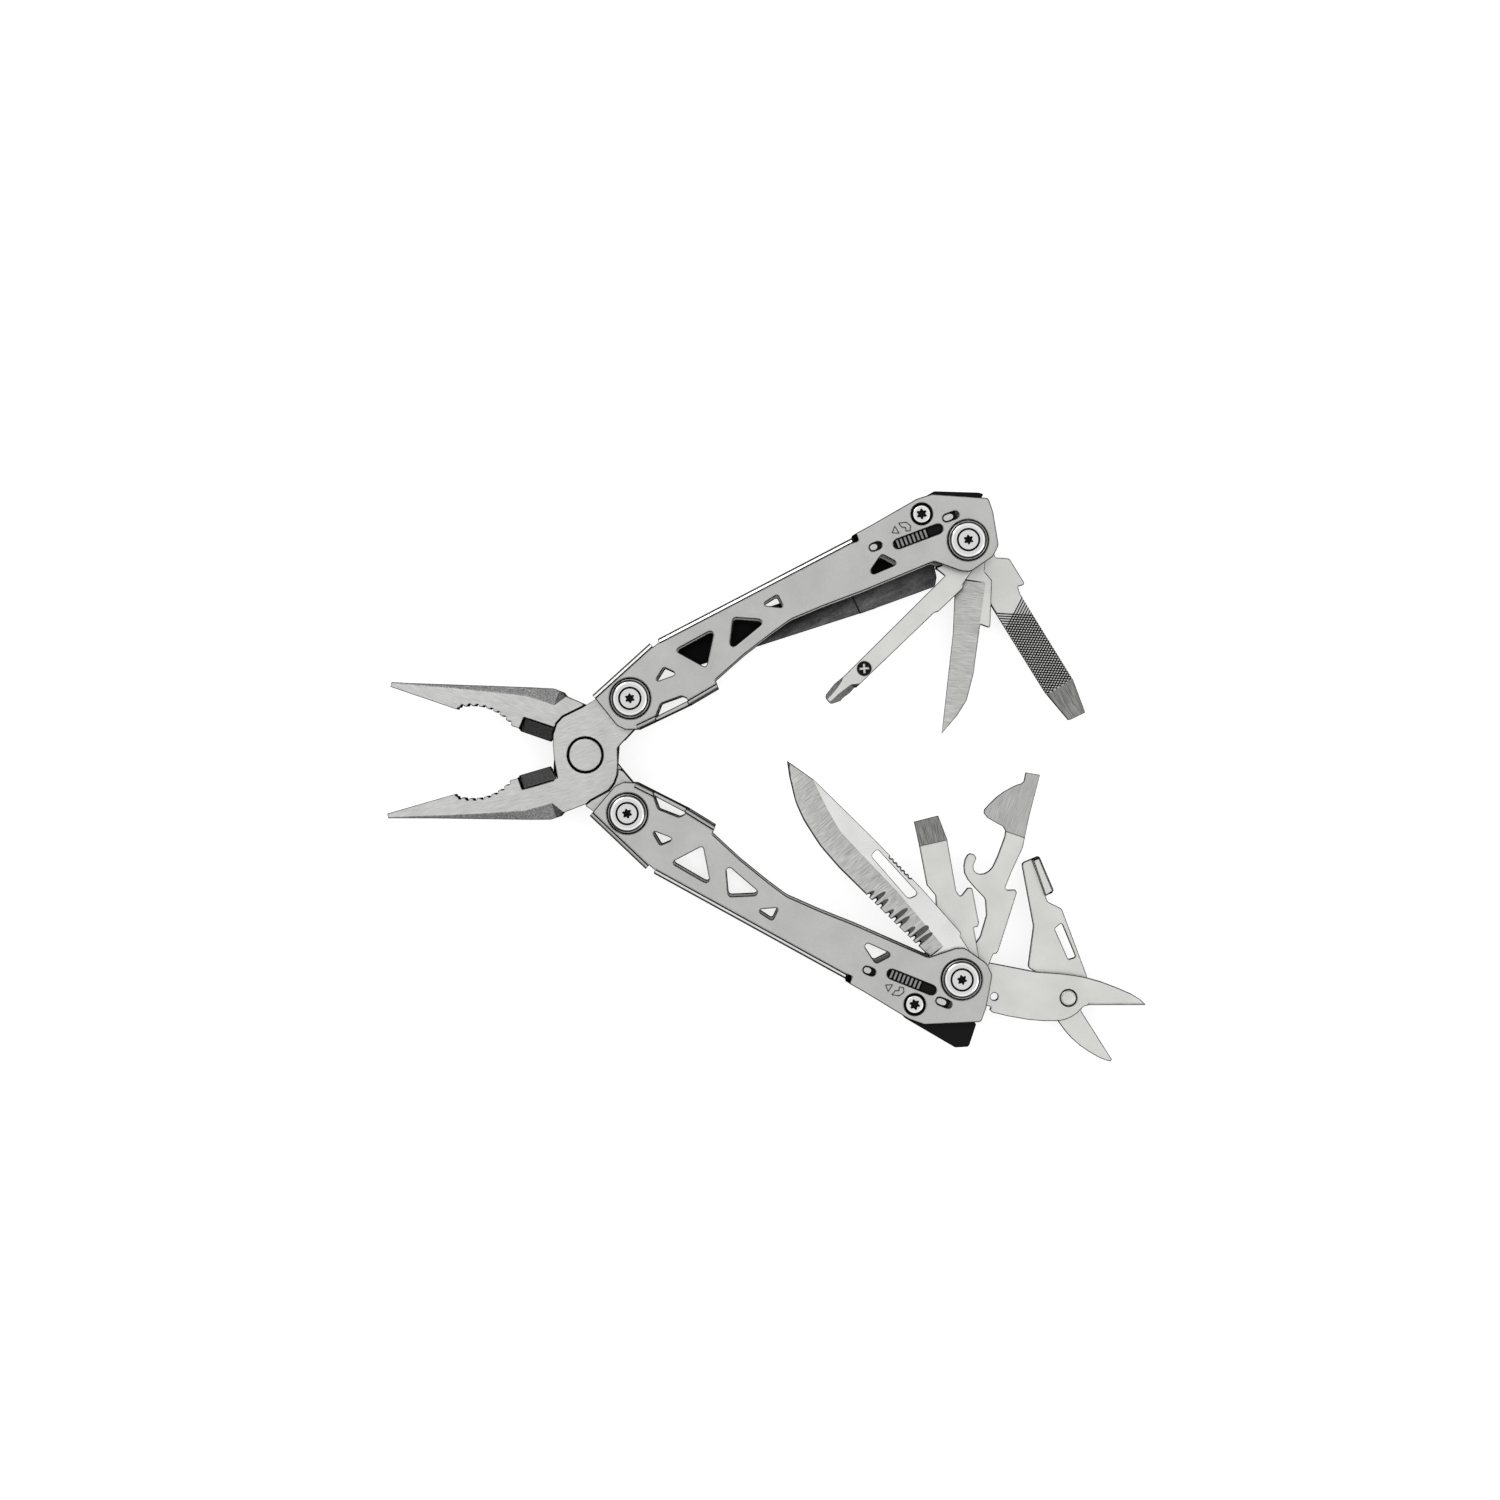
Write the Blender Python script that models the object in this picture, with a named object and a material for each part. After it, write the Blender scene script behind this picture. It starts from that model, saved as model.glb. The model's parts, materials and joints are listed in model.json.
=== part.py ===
"""Butterfly multi tool: needle-nose pliers on two folding handles, seven folding tools.

The tool lies flat on its back: +X from the plier tips towards the scissors, +Y across the
handles, +Z out of the front plates. The origin is under the middle of the whole tool.
"""
import bpy
import bmesh
from math import cos, hypot, radians, sin, tan
from mathutils import Matrix, Vector

MM = 0.001

# ---- driving dimensions, mm and degrees -------------------------------------------------
MID_Z = 8.8              # height of the tool's middle plane over the table
PLATE_OUT = 7.2          # outer face of a handle plate, from the middle plane
PLATE_IN = 6.0           # its inner face
LIP_IN = 4.8             # how far the folded lips reach in
HEAD_OUT = 8.8           # top of the domed screw heads

JAW_PIVOT = (-45.69, 5.804)
UPPER_ANGLE = 25.1                 # the handles' directions, pivot to tool screw
LOWER_ANGLE = -26.4
PIVOT_TO_TOOLS = 93.3
FRONT_JAW_ANGLE = 196.3            # direction of the front half's grip face
REAR_JAW_ANGLE = 161.0

TANG_PIVOT = (-14.90, -10.35)      # handle screw in a plier half's own frame
TANG_R = 6.4                       # round end of the tang, clear of the handle's web
PLIER_HALF = 4.3                   # half of the pliers' thickness
LAP_GAP = 0.1                      # half of the gap between the two halves at the lap joint
TIP_HALF = 1.55                    # half of the jaw's thickness at its tip

POST_R = 2.4
POST_HOLE_R = 2.6
HEAD_R = 4.9
WASHER_R = 5.0
BASE_R = 5.6                       # round end of every folding tool

# folding tools: rest direction, lowest and highest z from the middle plane
CROSS_DRIVER = (229.3, 2.20, 3.95)
AWL = (262.2, -2.10, -0.30)
FILE = (301.7, -5.75, -3.85)
MAIN_BLADE = (128.6, 4.15, 5.80)
FLAT_DRIVER = (102.5, 2.00, 3.50)
CAN_OPENER = (70.9, -0.10, 1.45)
SCISSORS_ARM = (-8.7, -1.80, -0.30)
SCISSORS_LEVER = (-8.7, -3.50, -2.00)
SCISSORS_RIVET = (28.1, -1.1)      # in the arm's frame
RIVET_HOLE_R = 1.35

UPPER_WASHERS = ((4.15, 5.85), (-0.15, 2.05), (-3.7, -2.25))
LOWER_WASHERS = ((3.65, 4.0), (1.6, 1.85), (-3.5, -1.95), (-5.85, -3.65))

LOCK_PIVOT = (85.6, 10.85)         # small screw, in a handle's frame
SLIDER_SLOPE = -4.5                # the lock slot's direction against the handle's


# ---- outlines ----------------------------------------------------------------------------
def arc(centre, radius, start, end, steps):
    """Points on an arc, degrees."""
    points = []
    for i in range(steps + 1):
        a = radians(start + (end - start) * i / steps)
        points.append((centre[0] + radius * cos(a), centre[1] + radius * sin(a)))
    return points


def disc(centre, radius, count=24):
    """Points all round a circle."""
    return arc(centre, radius, 0, 360 - 360 / count, count - 1)


def fillet(before, corner, after, radius, steps):
    """The arc that rounds one corner."""
    c = Vector(corner)
    a = (Vector(before) - c).normalized()
    b = (Vector(after) - c).normalized()
    half = a.angle(b) / 2
    reach = radius / tan(half)
    centre = c + (a + b).normalized() * radius / sin(half)
    first = c + a * reach - centre
    last = c + b * reach - centre
    turn = first.angle_signed(last)
    points = []
    for i in range(steps + 1):
        p = centre + Matrix.Rotation(-turn * i / steps, 2) @ first
        points.append((p.x, p.y))
    return points


def outline(corners, steps=3):
    """Corners are (x, y) or, to be rounded, (x, y, radius)."""
    points = []
    for i, corner in enumerate(corners):
        if len(corner) == 2:
            points.append(corner)
            continue
        before = corners[i - 1][:2]
        after = corners[(i + 1) % len(corners)][:2]
        points += fillet(before, corner[:2], after, corner[2], steps)
    return points


def flipped(points, side):
    """The same outline on the other handle, its mirror image."""
    return [(x, y * side) for x, y in points]


def turned_rect(centre, length, width, angle):
    a = radians(angle)
    ends = [(-0.5, -0.5), (0.5, -0.5), (0.5, 0.5), (-0.5, 0.5)]
    points = []
    for sx, sy in ends:
        x = sx * length
        y = sy * width
        points.append((centre[0] + x * cos(a) - y * sin(a), centre[1] + x * sin(a) + y * cos(a)))
    return points


def pill(centre, length, width, angle, steps=4):
    """A slot with round ends."""
    a = radians(angle)
    reach = (length - width) / 2
    right = (centre[0] + reach * cos(a), centre[1] + reach * sin(a))
    left = (centre[0] - reach * cos(a), centre[1] - reach * sin(a))
    points = arc(right, width / 2, angle - 90, angle + 90, steps)
    return points + arc(left, width / 2, angle + 90, angle + 270, steps)


# ---- solids ------------------------------------------------------------------------------
def material(name, colour, roughness, metallic=1.0):
    mat = bpy.data.materials.new(name)
    mat.use_nodes = True
    shader = mat.node_tree.nodes["Principled BSDF"]
    shader.inputs["Base Color"].default_value = (*colour, 1.0)
    shader.inputs["Roughness"].default_value = roughness
    shader.inputs["Metallic"].default_value = metallic
    return mat


def finish_mesh(name, bm, parent, mat=None):
    bmesh.ops.recalc_face_normals(bm, faces=bm.faces)
    mesh = bpy.data.meshes.new(name)
    bm.to_mesh(mesh)
    bm.free()
    obj = bpy.data.objects.new(name, mesh)
    bpy.context.scene.collection.objects.link(obj)
    obj.parent = parent
    if mat:
        mesh.materials.append(mat)
    return obj


def add_prism(bm, points, low, high):
    """Extrude an outline, mm, from height low to high into the bmesh."""
    bottom = [bm.verts.new((x * MM, y * MM, low * MM)) for x, y in points]
    top = [bm.verts.new((x * MM, y * MM, high * MM)) for x, y in points]
    bm.faces.new(list(reversed(bottom)))
    bm.faces.new(top)
    for i in range(len(points)):
        j = (i + 1) % len(points)
        bm.faces.new((bottom[i], bottom[j], top[j], top[i]))


def prisms(name, shapes, parent, mat=None):
    """One object of several prisms that don't touch: (points, low, high) each."""
    bm = bmesh.new()
    for points, low, high in shapes:
        add_prism(bm, points, low, high)
    return finish_mesh(name, bm, parent, mat)


def side_prism(name, profile, near, far, parent, mat=None):
    """Extrude an (x, z) profile along y."""
    bm = bmesh.new()
    first = [bm.verts.new((x * MM, near * MM, z * MM)) for x, z in profile]
    last = [bm.verts.new((x * MM, far * MM, z * MM)) for x, z in profile]
    bm.faces.new(first)
    bm.faces.new(list(reversed(last)))
    for i in range(len(profile)):
        j = (i + 1) % len(profile)
        bm.faces.new((first[j], first[i], last[i], last[j]))
    return finish_mesh(name, bm, parent, mat)


def turned(name, profile, centre, parent, mat, segments=24):
    """Turn a closed (radius, z) profile about the vertical line through centre."""
    bm = bmesh.new()
    rings = []
    for radius, z in profile:
        if radius == 0:
            rings.append([bm.verts.new((centre[0] * MM, centre[1] * MM, z * MM))])
            continue
        ring = []
        for x, y in disc(centre, radius, segments):
            ring.append(bm.verts.new((x * MM, y * MM, z * MM)))
        rings.append(ring)
    closed = profile[0][0] != 0
    pairs = list(zip(rings, rings[1:] + rings[:1])) if closed else list(zip(rings, rings[1:]))
    for lower, upper in pairs:
        for i in range(segments):
            j = (i + 1) % segments
            quad = [lower[i % len(lower)], lower[j % len(lower)],
                    upper[j % len(upper)], upper[i % len(upper)]]
            corners = list(dict.fromkeys(quad))
            bm.faces.new(corners)
    obj = finish_mesh(name, bm, parent, mat)
    obj.data.shade_smooth()
    obj.data.set_sharp_from_angle(angle=radians(40))
    return obj


def operand(obj):
    obj.hide_render = True
    obj.display_type = 'WIRE'
    return obj


def combine(target, other, operation):
    mod = target.modifiers.new(operation.lower(), 'BOOLEAN')
    mod.operation = operation
    mod.solver = 'EXACT'
    mod.object = operand(other)


def cut(target, cutter):
    combine(target, cutter, 'DIFFERENCE')


def fuse(target, other):
    combine(target, other, 'UNION')


def place(name, position, angle, parent=None):
    """An empty on a pivot's axis; angle in degrees."""
    empty = bpy.data.objects.new(name, None)
    bpy.context.scene.collection.objects.link(empty)
    empty.location = (position[0] * MM, position[1] * MM, position[2] * MM)
    empty.rotation_euler = (0, 0, radians(angle))
    empty.parent = parent
    return empty


# ---- screws, washers ---------------------------------------------------------------------
def screw_and_barrel(prefix, centre, parent, mat):
    """A domed screw from the front and its barrel from the back, thread to bore."""
    split = 2.9
    bore_r = 1.6
    thread_r = 1.45
    thread_end = -4.0
    edge = HEAD_OUT - 0.55
    under = PLATE_OUT + 0.05
    dome = [(HEAD_R, under), (HEAD_R, edge), (HEAD_R - 0.5, HEAD_OUT - 0.15), (HEAD_R - 1.5, HEAD_OUT)]
    profile = [(0, thread_end), (thread_r, thread_end), (thread_r, split), (POST_R, split), (POST_R, under)]
    turned(prefix + "_screw", profile + dome + [(0, HEAD_OUT)], centre, parent, mat)
    bore_end = thread_end - 0.5
    top = split - 0.15
    barrel = [(0, bore_end), (bore_r, bore_end), (bore_r, top), (POST_R, top), (POST_R, -under)]
    back = [(r, -z) for r, z in dome]
    turned(prefix + "_barrel", barrel + back + [(0, -HEAD_OUT)], centre, parent, mat)


def washer(name, centre, low, high, parent, mat, radius=WASHER_R):
    ring = [(POST_HOLE_R, low), (radius, low), (radius, high), (POST_HOLE_R, high)]
    turned(name, ring, centre, parent, mat)


# ---- pliers ------------------------------------------------------------------------------
# In a half's own frame: x along the grip face to the tip, y out of the jaw's back.
BOSS_JAW_SIDE = [(8.3, 3.9), (7.7, -1.7), (7.1, -4.7), (6.3, -7.1), (4.7, -9.5), (2.7, -10.7), (-2.9, -11.7)]
BOSS_TANG_SIDE = [(-8.2, 0.6), (-7.1, 4.7), (-6.2, 7.0), (-4.9, 8.8), (-3.2, 10.1), (1.9, 11.2), (3.3, 11.9)]


def grip_edge():
    """Gripping edge from the tip to the boss: flat, pipe grip, wire cutter."""
    pipe = arc((26.95, -10.05), 13.05, 56, 123.5, 10)
    return [(52.2, 0.15), (34.3, 0.25)] + pipe + [(18.1, 0.9), (17.3, 0.25), (9.5, 0.25)]


def half_outline():
    jaw_back = [(9.4, 12.4), (10.4, 13.1), (13.0, 13.2), (17.9, 11.8), (37.3, 5.8), (52.3, 1.4)]
    tang = [(-6.4, -12.7)] + arc(TANG_PIVOT, TANG_R, -32, -262, 12) + [(-14.3, -3.1), (-9.4, -0.2)]
    return outline(grip_edge() + BOSS_JAW_SIDE + tang + BOSS_TANG_SIDE + jaw_back)


def pocket(turn, clearance=0.3, reach=30.0):
    """Room for the other half's boss, jaw root and tang root, turned about the pivot."""
    points = []
    for side in (BOSS_JAW_SIDE, BOSS_TANG_SIDE):
        for x, y in side:
            grow = 1 + clearance / hypot(x, y)
            points.append((x * grow, y * grow))
        last = side[-1]
        other = BOSS_TANG_SIDE[0] if side is BOSS_JAW_SIDE else BOSS_JAW_SIDE[0]
        for x, y in (last, other):
            points.append((x * reach / hypot(x, y), y * reach / hypot(x, y)))
    a = radians(turn)
    spun = [(x * cos(a) - y * sin(a), x * sin(a) + y * cos(a)) for x, y in points]
    return [(x, -y) for x, y in spun]


def plier_half(name, parent, flip, steel):
    """flip 1 is the front half, -1 the rear half: its mirror image turned over."""
    half = prisms(name, [(flipped(half_outline(), flip), -PLIER_HALF, PLIER_HALF)], parent, steel)
    opening = FRONT_JAW_ANGLE - REAR_JAW_ANGLE
    lap = sorted((-6.0 * flip, LAP_GAP * flip))
    for label, turn in (("open", opening), ("closed", 0.0)):
        cutter = prisms(name + "_lap_" + label, [(flipped(pocket(turn), flip), lap[0], lap[1])], parent)
        cut(half, cutter)
    for sign in (1, -1):
        taper = [(15.0, PLIER_HALF * sign), (41.0, (TIP_HALF + 0.75) * sign), (54.0, TIP_HALF * sign),
                 (54.0, 7.0 * sign), (15.0, 7.0 * sign)]
        cut(half, side_prism(f"{name}_taper_{sign}", taper, -16.0, 16.0, parent))
    holes = [(disc((0, 0), 3.35), -7.0, 7.0),
             (disc((TANG_PIVOT[0], TANG_PIVOT[1] * flip), POST_HOLE_R), -7.0, 7.0)]
    cut(half, prisms(name + "_holes", holes, parent))
    recess = sorted(((PLIER_HALF - 1.4) * flip, (PLIER_HALF + 1.0) * flip))
    cut(half, prisms(name + "_rivet_seat", [(disc((0, 0), 4.6), recess[0], recess[1])], parent))
    return half


def pliers(front, rear, steel, rivet_steel):
    plier_half("plier_front_half", front, 1, steel)
    plier_half("plier_rear_half", rear, -1, steel)
    head = [(3.2, -3.0), (4.45, -3.0), (4.45, -4.25), (0, -4.25)]
    profile = [(0, 4.25), (4.45, 4.25), (4.45, 3.0), (3.2, 3.0)] + head
    turned("jaw_rivet", profile, (0, 0), front, rivet_steel)


# ---- handles -----------------------------------------------------------------------------
# In a handle's own frame: x from plier pivot to tool pivot, y outwards; side -1 mirrors it.
LIP_ONE = ((-8.2, 4.8), (10.3, 10.5))
LIP_TWO = ((12.6, 10.6), (67.2, 12.9))


def plate_outline():
    inner = [(-5.9, -4.7, 1.2), (-4.4, -6.6, 1.0), (-1.4, -7.9, 0.8), (13.0, -7.8), (21.1, -7.05),
             (21.3, -4.8), (30.5, -2.1), (39.5, -0.1), (45.0, 0.9, 6.0), (54.0, 0.5), (64.0, -0.3),
             (83.4, -1.2, 1.6), (88.6, -6.4, 1.2), (90.5, -7.4, 1.6), (97.2, -6.4, 2.4), (99.7, -4.4, 1.6)]
    end = [(102.0, 3.7), (102.4, 7.4, 1.0), (90.0, 14.3, 3.0), (86.0, 14.8), (73.0, 13.7)]
    outer = [(67.6, 13.4), LIP_TWO[1], LIP_TWO[0], (12.4, 9.6), (10.6, 9.2), LIP_ONE[1], LIP_ONE[0]]
    return outline(inner + end + outer)


TRIANGLES = [
    [(7.2, 1.1, 0.4), (13.4, 0.5, 0.5), (10.9, 3.5, 0.5)],
    [(15.2, 6.2, 0.6), (20.5, -1.1, 0.6), (26.6, 6.9, 0.8)],
    [(27.5, 0.3, 0.8), (39.3, 3.3, 0.8), (31.9, 7.4, 0.8)],
    [(39.4, 7.3, 0.5), (44.4, 4.3, 0.4), (44.4, 7.9, 0.5)],
    [(66.2, 2.4, 0.7), (75.2, 2.1, 0.6), (72.3, 6.0, 0.7)],
]


SLIDER_SLOTS = (((82.4, 6.15), 13.2, 2.4), ((71.7, 8.4), 3.4, 1.9), ((91.9, 7.2), 4.3, 1.9))


def handle_frame(name, side, parent, steel, back_holes=()):
    """Folded sheet: two plates, a web by the plier pivot, and lips along the edges."""
    frame = prisms(name, [(flipped(plate_outline(), side), -PLATE_OUT, PLATE_OUT)], parent, steel)
    web_in = -6.9
    between = [(-12, -14), (-1.0, -14), (-1.0, web_in), (13.0, web_in), (13.0, -14), (112, -14),
               (112, 22), (-12, 22)]
    cut(frame, prisms(name + "_between_lips", [(flipped(between, side), -LIP_IN, LIP_IN)], parent))
    cavity = [(-12, -14), (-1.0, -14), (-1.0, web_in), (13.0, web_in + 0.3), (21.5, -5.9), (21.5, -14),
              (112, -14), (112, 22), (67.7, 22), (67.7, 11.75), (12.5, 9.4), (10.65, 9.35), (-12, 2.4)]
    cut(frame, prisms(name + "_cavity", [(flipped(cavity, side), -PLATE_IN, PLATE_IN)], parent))
    window = outline([(3.4, -9.5), (12.8, -9.5), (12.8, -5.9, 0.8), (11.9, -4.9, 0.8), (6.4, -4.4, 0.8),
                      (3.4, -7.3)])
    holes = []
    for low, high in ((PLATE_IN - 0.2, 9.0), (-9.0, -PLATE_IN + 0.2)):
        holes.append((flipped(window, side), low, high))
        for centre in ((0, 0), (PIVOT_TO_TOOLS, 0)):
            holes.append((flipped(disc(centre, POST_HOLE_R), side), low, high))
        for triangle in TRIANGLES:
            holes.append((flipped(outline(triangle), side), low, high))
    seat = turned_rect((82.0, 7.5), 27.0, 6.4, SLIDER_SLOPE)
    for centre, length, width in SLIDER_SLOTS:
        holes.append((flipped(pill(centre, length, width, SLIDER_SLOPE), side), 6.2, 9.0))
    holes.append((flipped(disc(LOCK_PIVOT, 2.65, 16), side), PLATE_IN - 0.2, 9.0))
    holes.append((flipped(disc(LOCK_PIVOT, 1.6, 16), side), -9.0, -PLATE_IN + 0.2))
    for centre in back_holes:
        holes.append((disc(centre, 1.1, 12), -9.0, -PLATE_IN + 0.2))
    cut(frame, prisms(name + "_holes", holes, parent))
    cut(frame, prisms(name + "_slider_seat", [(flipped(seat, side), 5.8, 6.55)], parent))
    return frame


def lock_slider(name, side, handle, steel):
    """Ridged thumb slider in the front plate, with a guide tab in each small slot."""
    line = place(name + "_line", (81.6, 7.45 * side, 0), SLIDER_SLOPE * side, handle)
    plan = [(-11.7, -2.3), (11.7, -2.3), (11.7, 1.5), (8.2, 1.5), (8.2, 0.75), (-2.5, 0.75), (-4.0, 1.5),
            (-11.7, 1.5)]
    slider = prisms(name, [(flipped(plan, side), 6.08, 6.45)], line, steel)
    teeth = 8
    length = 8.4
    start = -0.7 - length / 2
    profile = [(start, 6.3)]
    for i in range(teeth):
        left = start + i * length / teeth
        profile += [(left + 0.15, 7.45), (left + 0.7, 7.45), (left + 0.85, 7.05)]
    profile += [(start + length, 7.05), (start + length, 6.3)]
    middle = -1.23 * side
    fuse(slider, side_prism(name + "_ridges", profile, middle - 1.02, middle + 1.02, line))
    tabs = [(flipped(pill((-10.45, 0.17), 2.0, 1.5, 0), side), 6.3, 7.15),
            (flipped(pill((9.64, 0.56), 2.6, 1.5, 0), side), 6.3, 7.15)]
    fuse(slider, prisms(name + "_tabs", tabs, line))
    return slider


UPPER_LOCK_BAR = [(77.0, 9.6, 0.6), (84.0, 8.3), (92.0, 8.7), (101.2, 8.35, 0.3), (101.9, 8.85, 0.3),
                  (101.0, 9.7, 0.6), (91.0, 14.75, 1.0), (85.0, 14.3), (77.5, 12.6, 0.6)]
LOWER_LOCK_BAR = [(77.0, 9.6, 0.6), (84.0, 8.3), (92.0, 8.7), (101.0, 8.35), (101.75, 8.5),
                  (102.6, 14.4, 0.8), (99.6, 16.1, 1.0), (85.2, 15.1), (77.5, 12.6, 0.6)]


def lock_parts(prefix, side, handle, bar_points, steel, black):
    """Slider, rocking lock bar on its screw, and the leaf spring behind the bar."""
    lock_slider(prefix + "_lock_slider", side, handle, black)
    bar = prisms(prefix + "_lock_bar", [(flipped(outline(bar_points), side), -5.7, 5.7)], handle, black)
    pivot = (LOCK_PIVOT[0], LOCK_PIVOT[1] * side)
    cut(bar, prisms(prefix + "_lock_bar_hole", [(disc(pivot, 1.6, 16), -7, 7)], handle))
    profile = [(0, -7.1), (1.4, -7.1), (1.4, 6.2), (2.5, 6.2), (2.5, 7.1), (2.3, 7.25), (0, 7.25)]
    turned(prefix + "_lock_screw", profile, pivot, handle, steel, segments=20)
    leaf = arc((72.2, 0.8), 11.2, 68, 112, 5)
    back = arc((72.2, 0.8), 10.7, 112, 68, 5)
    prisms(prefix + "_lock_spring", [(flipped(leaf + back, side), 0.2, 5.2)], handle, steel)


def handle_stack(prefix, side, handle, steel, screw_steel, back_holes=()):
    """Frame, both pivots, and the washers beside the plier tang."""
    handle_frame(prefix + "_frame", side, handle, steel, back_holes)
    screw_and_barrel(prefix + "_plier", (0, 0), handle, screw_steel)
    screw_and_barrel(prefix + "_tool", (PIVOT_TO_TOOLS, 0), handle, screw_steel)
    washer(prefix + "_plier_washer_front", (0, 0), 4.45, 5.85, handle, screw_steel)
    washer(prefix + "_plier_washer_back", (0, 0), -5.85, -4.45, handle, screw_steel)


# ---- folding tools -----------------------------------------------------------------------
# In a tool's own frame: x from its pivot to its tip, y to its left.
def tool(name, pivot, spec, corners, base_arc, steel):
    """Flat tool: an outline that ends in a round base about the pivot."""
    angle, low, high = spec
    holder = place(name + "_pivot", (pivot[0], pivot[1], MID_Z), angle)
    base = arc((0, 0), BASE_R, base_arc[0], base_arc[1], 9)
    body = prisms(name, [(outline(corners, 2) + base, low, high)], holder, steel)
    cut(body, prisms(name + "_hole", [(disc((0, 0), POST_HOLE_R), -9, 9)], holder))
    return body, holder


def cross_driver(pivot, steel):
    corners = [(9.0, -3.3, 0.8), (10.3, -1.6, 0.5), (10.2, 1.5), (45.4, -1.3), (49.0, -1.9),
               (53.0, -1.7, 1.0), (53.4, 0.8, 0.8), (50.5, 2.5, 1.5), (45.6, 3.0), (19.0, 5.5),
               (18.0, 6.1), (9.0, 7.0, 0.6)]
    tool("cross_driver", pivot, CROSS_DRIVER, corners, (75, 285), steel)


def awl(pivot, steel):
    corners = [(8.0, -2.9, 1.0), (13.6, -0.9), (23.2, 0.0), (48.7, 0.6), (43.7, 3.8), (39.5, 5.7, 2.0),
               (32.6, 6.5), (20.0, 6.45), (20.6, 9.1, 0.4), (8.6, 7.9, 0.5), (6.6, 5.7)]
    tool("awl_blade", pivot, AWL, corners, (80, 285), steel)


def file_tool(pivot, steel):
    corners = [(9.0, -2.5, 0.8), (42.9, -2.4), (52.2, -1.1, 0.4), (52.7, 3.6, 0.2), (43.9, 5.3),
               (18.4, 5.3), (16.4, 5.8), (17.0, 7.7, 0.5), (9.2, 7.7, 1.0), (7.2, 4.9)]
    tool("file", pivot, FILE, corners, (70, 290), steel)


def main_blade(pivot, steel):
    cutting = [(70.0, 0.0), (66.6, 2.0, 12.0), (60.7, 4.8, 16.0), (55.8, 6.1, 16.0), (48.1, 6.9, 20.0),
               (41.0, 6.6, 20.0), (31.7, 5.5), (9.6, 2.8)]
    corners = [(8.6, -7.2, 0.6), (24.1, -6.4), (41.1, -4.8), (62.0, -2.3, 6.0)] + cutting
    blade, holder = tool("main_blade", pivot, MAIN_BLADE, corners, (80, 275), steel)
    slot = outline([(23.2, -4.9, 0.7), (38.6, -3.9, 0.7), (38.2, -1.6, 0.7), (23.9, -2.2, 1.0)])
    cut(blade, prisms("main_blade_slot", [(slot, 3, 7)], holder))


def flat_driver(pivot, steel):
    corners = [(10.8, -7.5, 1.0), (21.6, -7.8, 0.5), (21.7, -6.6, 0.3), (19.9, -4.4, 0.4),
               (21.7, -3.7), (34.8, -4.3), (41.1, -3.4), (40.9, 2.9), (34.6, 2.9), (24.6, 3.2),
               (21.6, 1.6, 0.8), (17.0, 2.5)]
    tool("flat_driver", pivot, FLAT_DRIVER, corners, (70, 275), steel)


def can_opener(pivot, steel):
    neck = [(8.4, -7.0, 1.0), (24.9, -6.6, 0.4), (25.5, -6.0, 0.3), (24.5, -3.4, 0.5), (29.4, -3.6),
            (36.1, -4.3), (43.9, -3.3), (54.9, -2.4), (54.3, 1.2), (52.0, 0.9, 0.3)]
    cutting = [(51.3, 1.3), (50.6, 2.3), (49.4, 3.5), (47.8, 4.9), (45.9, 6.2), (43.7, 7.3),
               (42.0, 8.0, 0.3), (41.1, 7.8, 0.3), (40.3, 6.5), (39.8, 3.9), (39.5, 2.1), (38.7, 1.2),
               (37.3, 0.9)]
    hook = [(31.9, 1.0), (29.0, 1.3), (27.7, 1.9), (26.8, 2.7), (26.3, 3.7), (26.3, 4.8), (26.8, 5.6),
            (27.8, 6.0), (29.8, 5.9, 0.3), (30.5, 6.7, 0.3), (30.4, 7.8, 0.3), (29.8, 8.3),
            (28.5, 8.5), (27.0, 8.3), (25.2, 7.5), (23.9, 6.1), (22.6, 3.9), (20.8, 0.4, 1.5),
            (17.0, -1.2, 1.0), (11.4, -1.5, 0.8), (8.0, -0.4)]
    corners = neck + cutting + hook
    tool("can_opener", pivot, CAN_OPENER, corners, (60, 280), steel)


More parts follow.
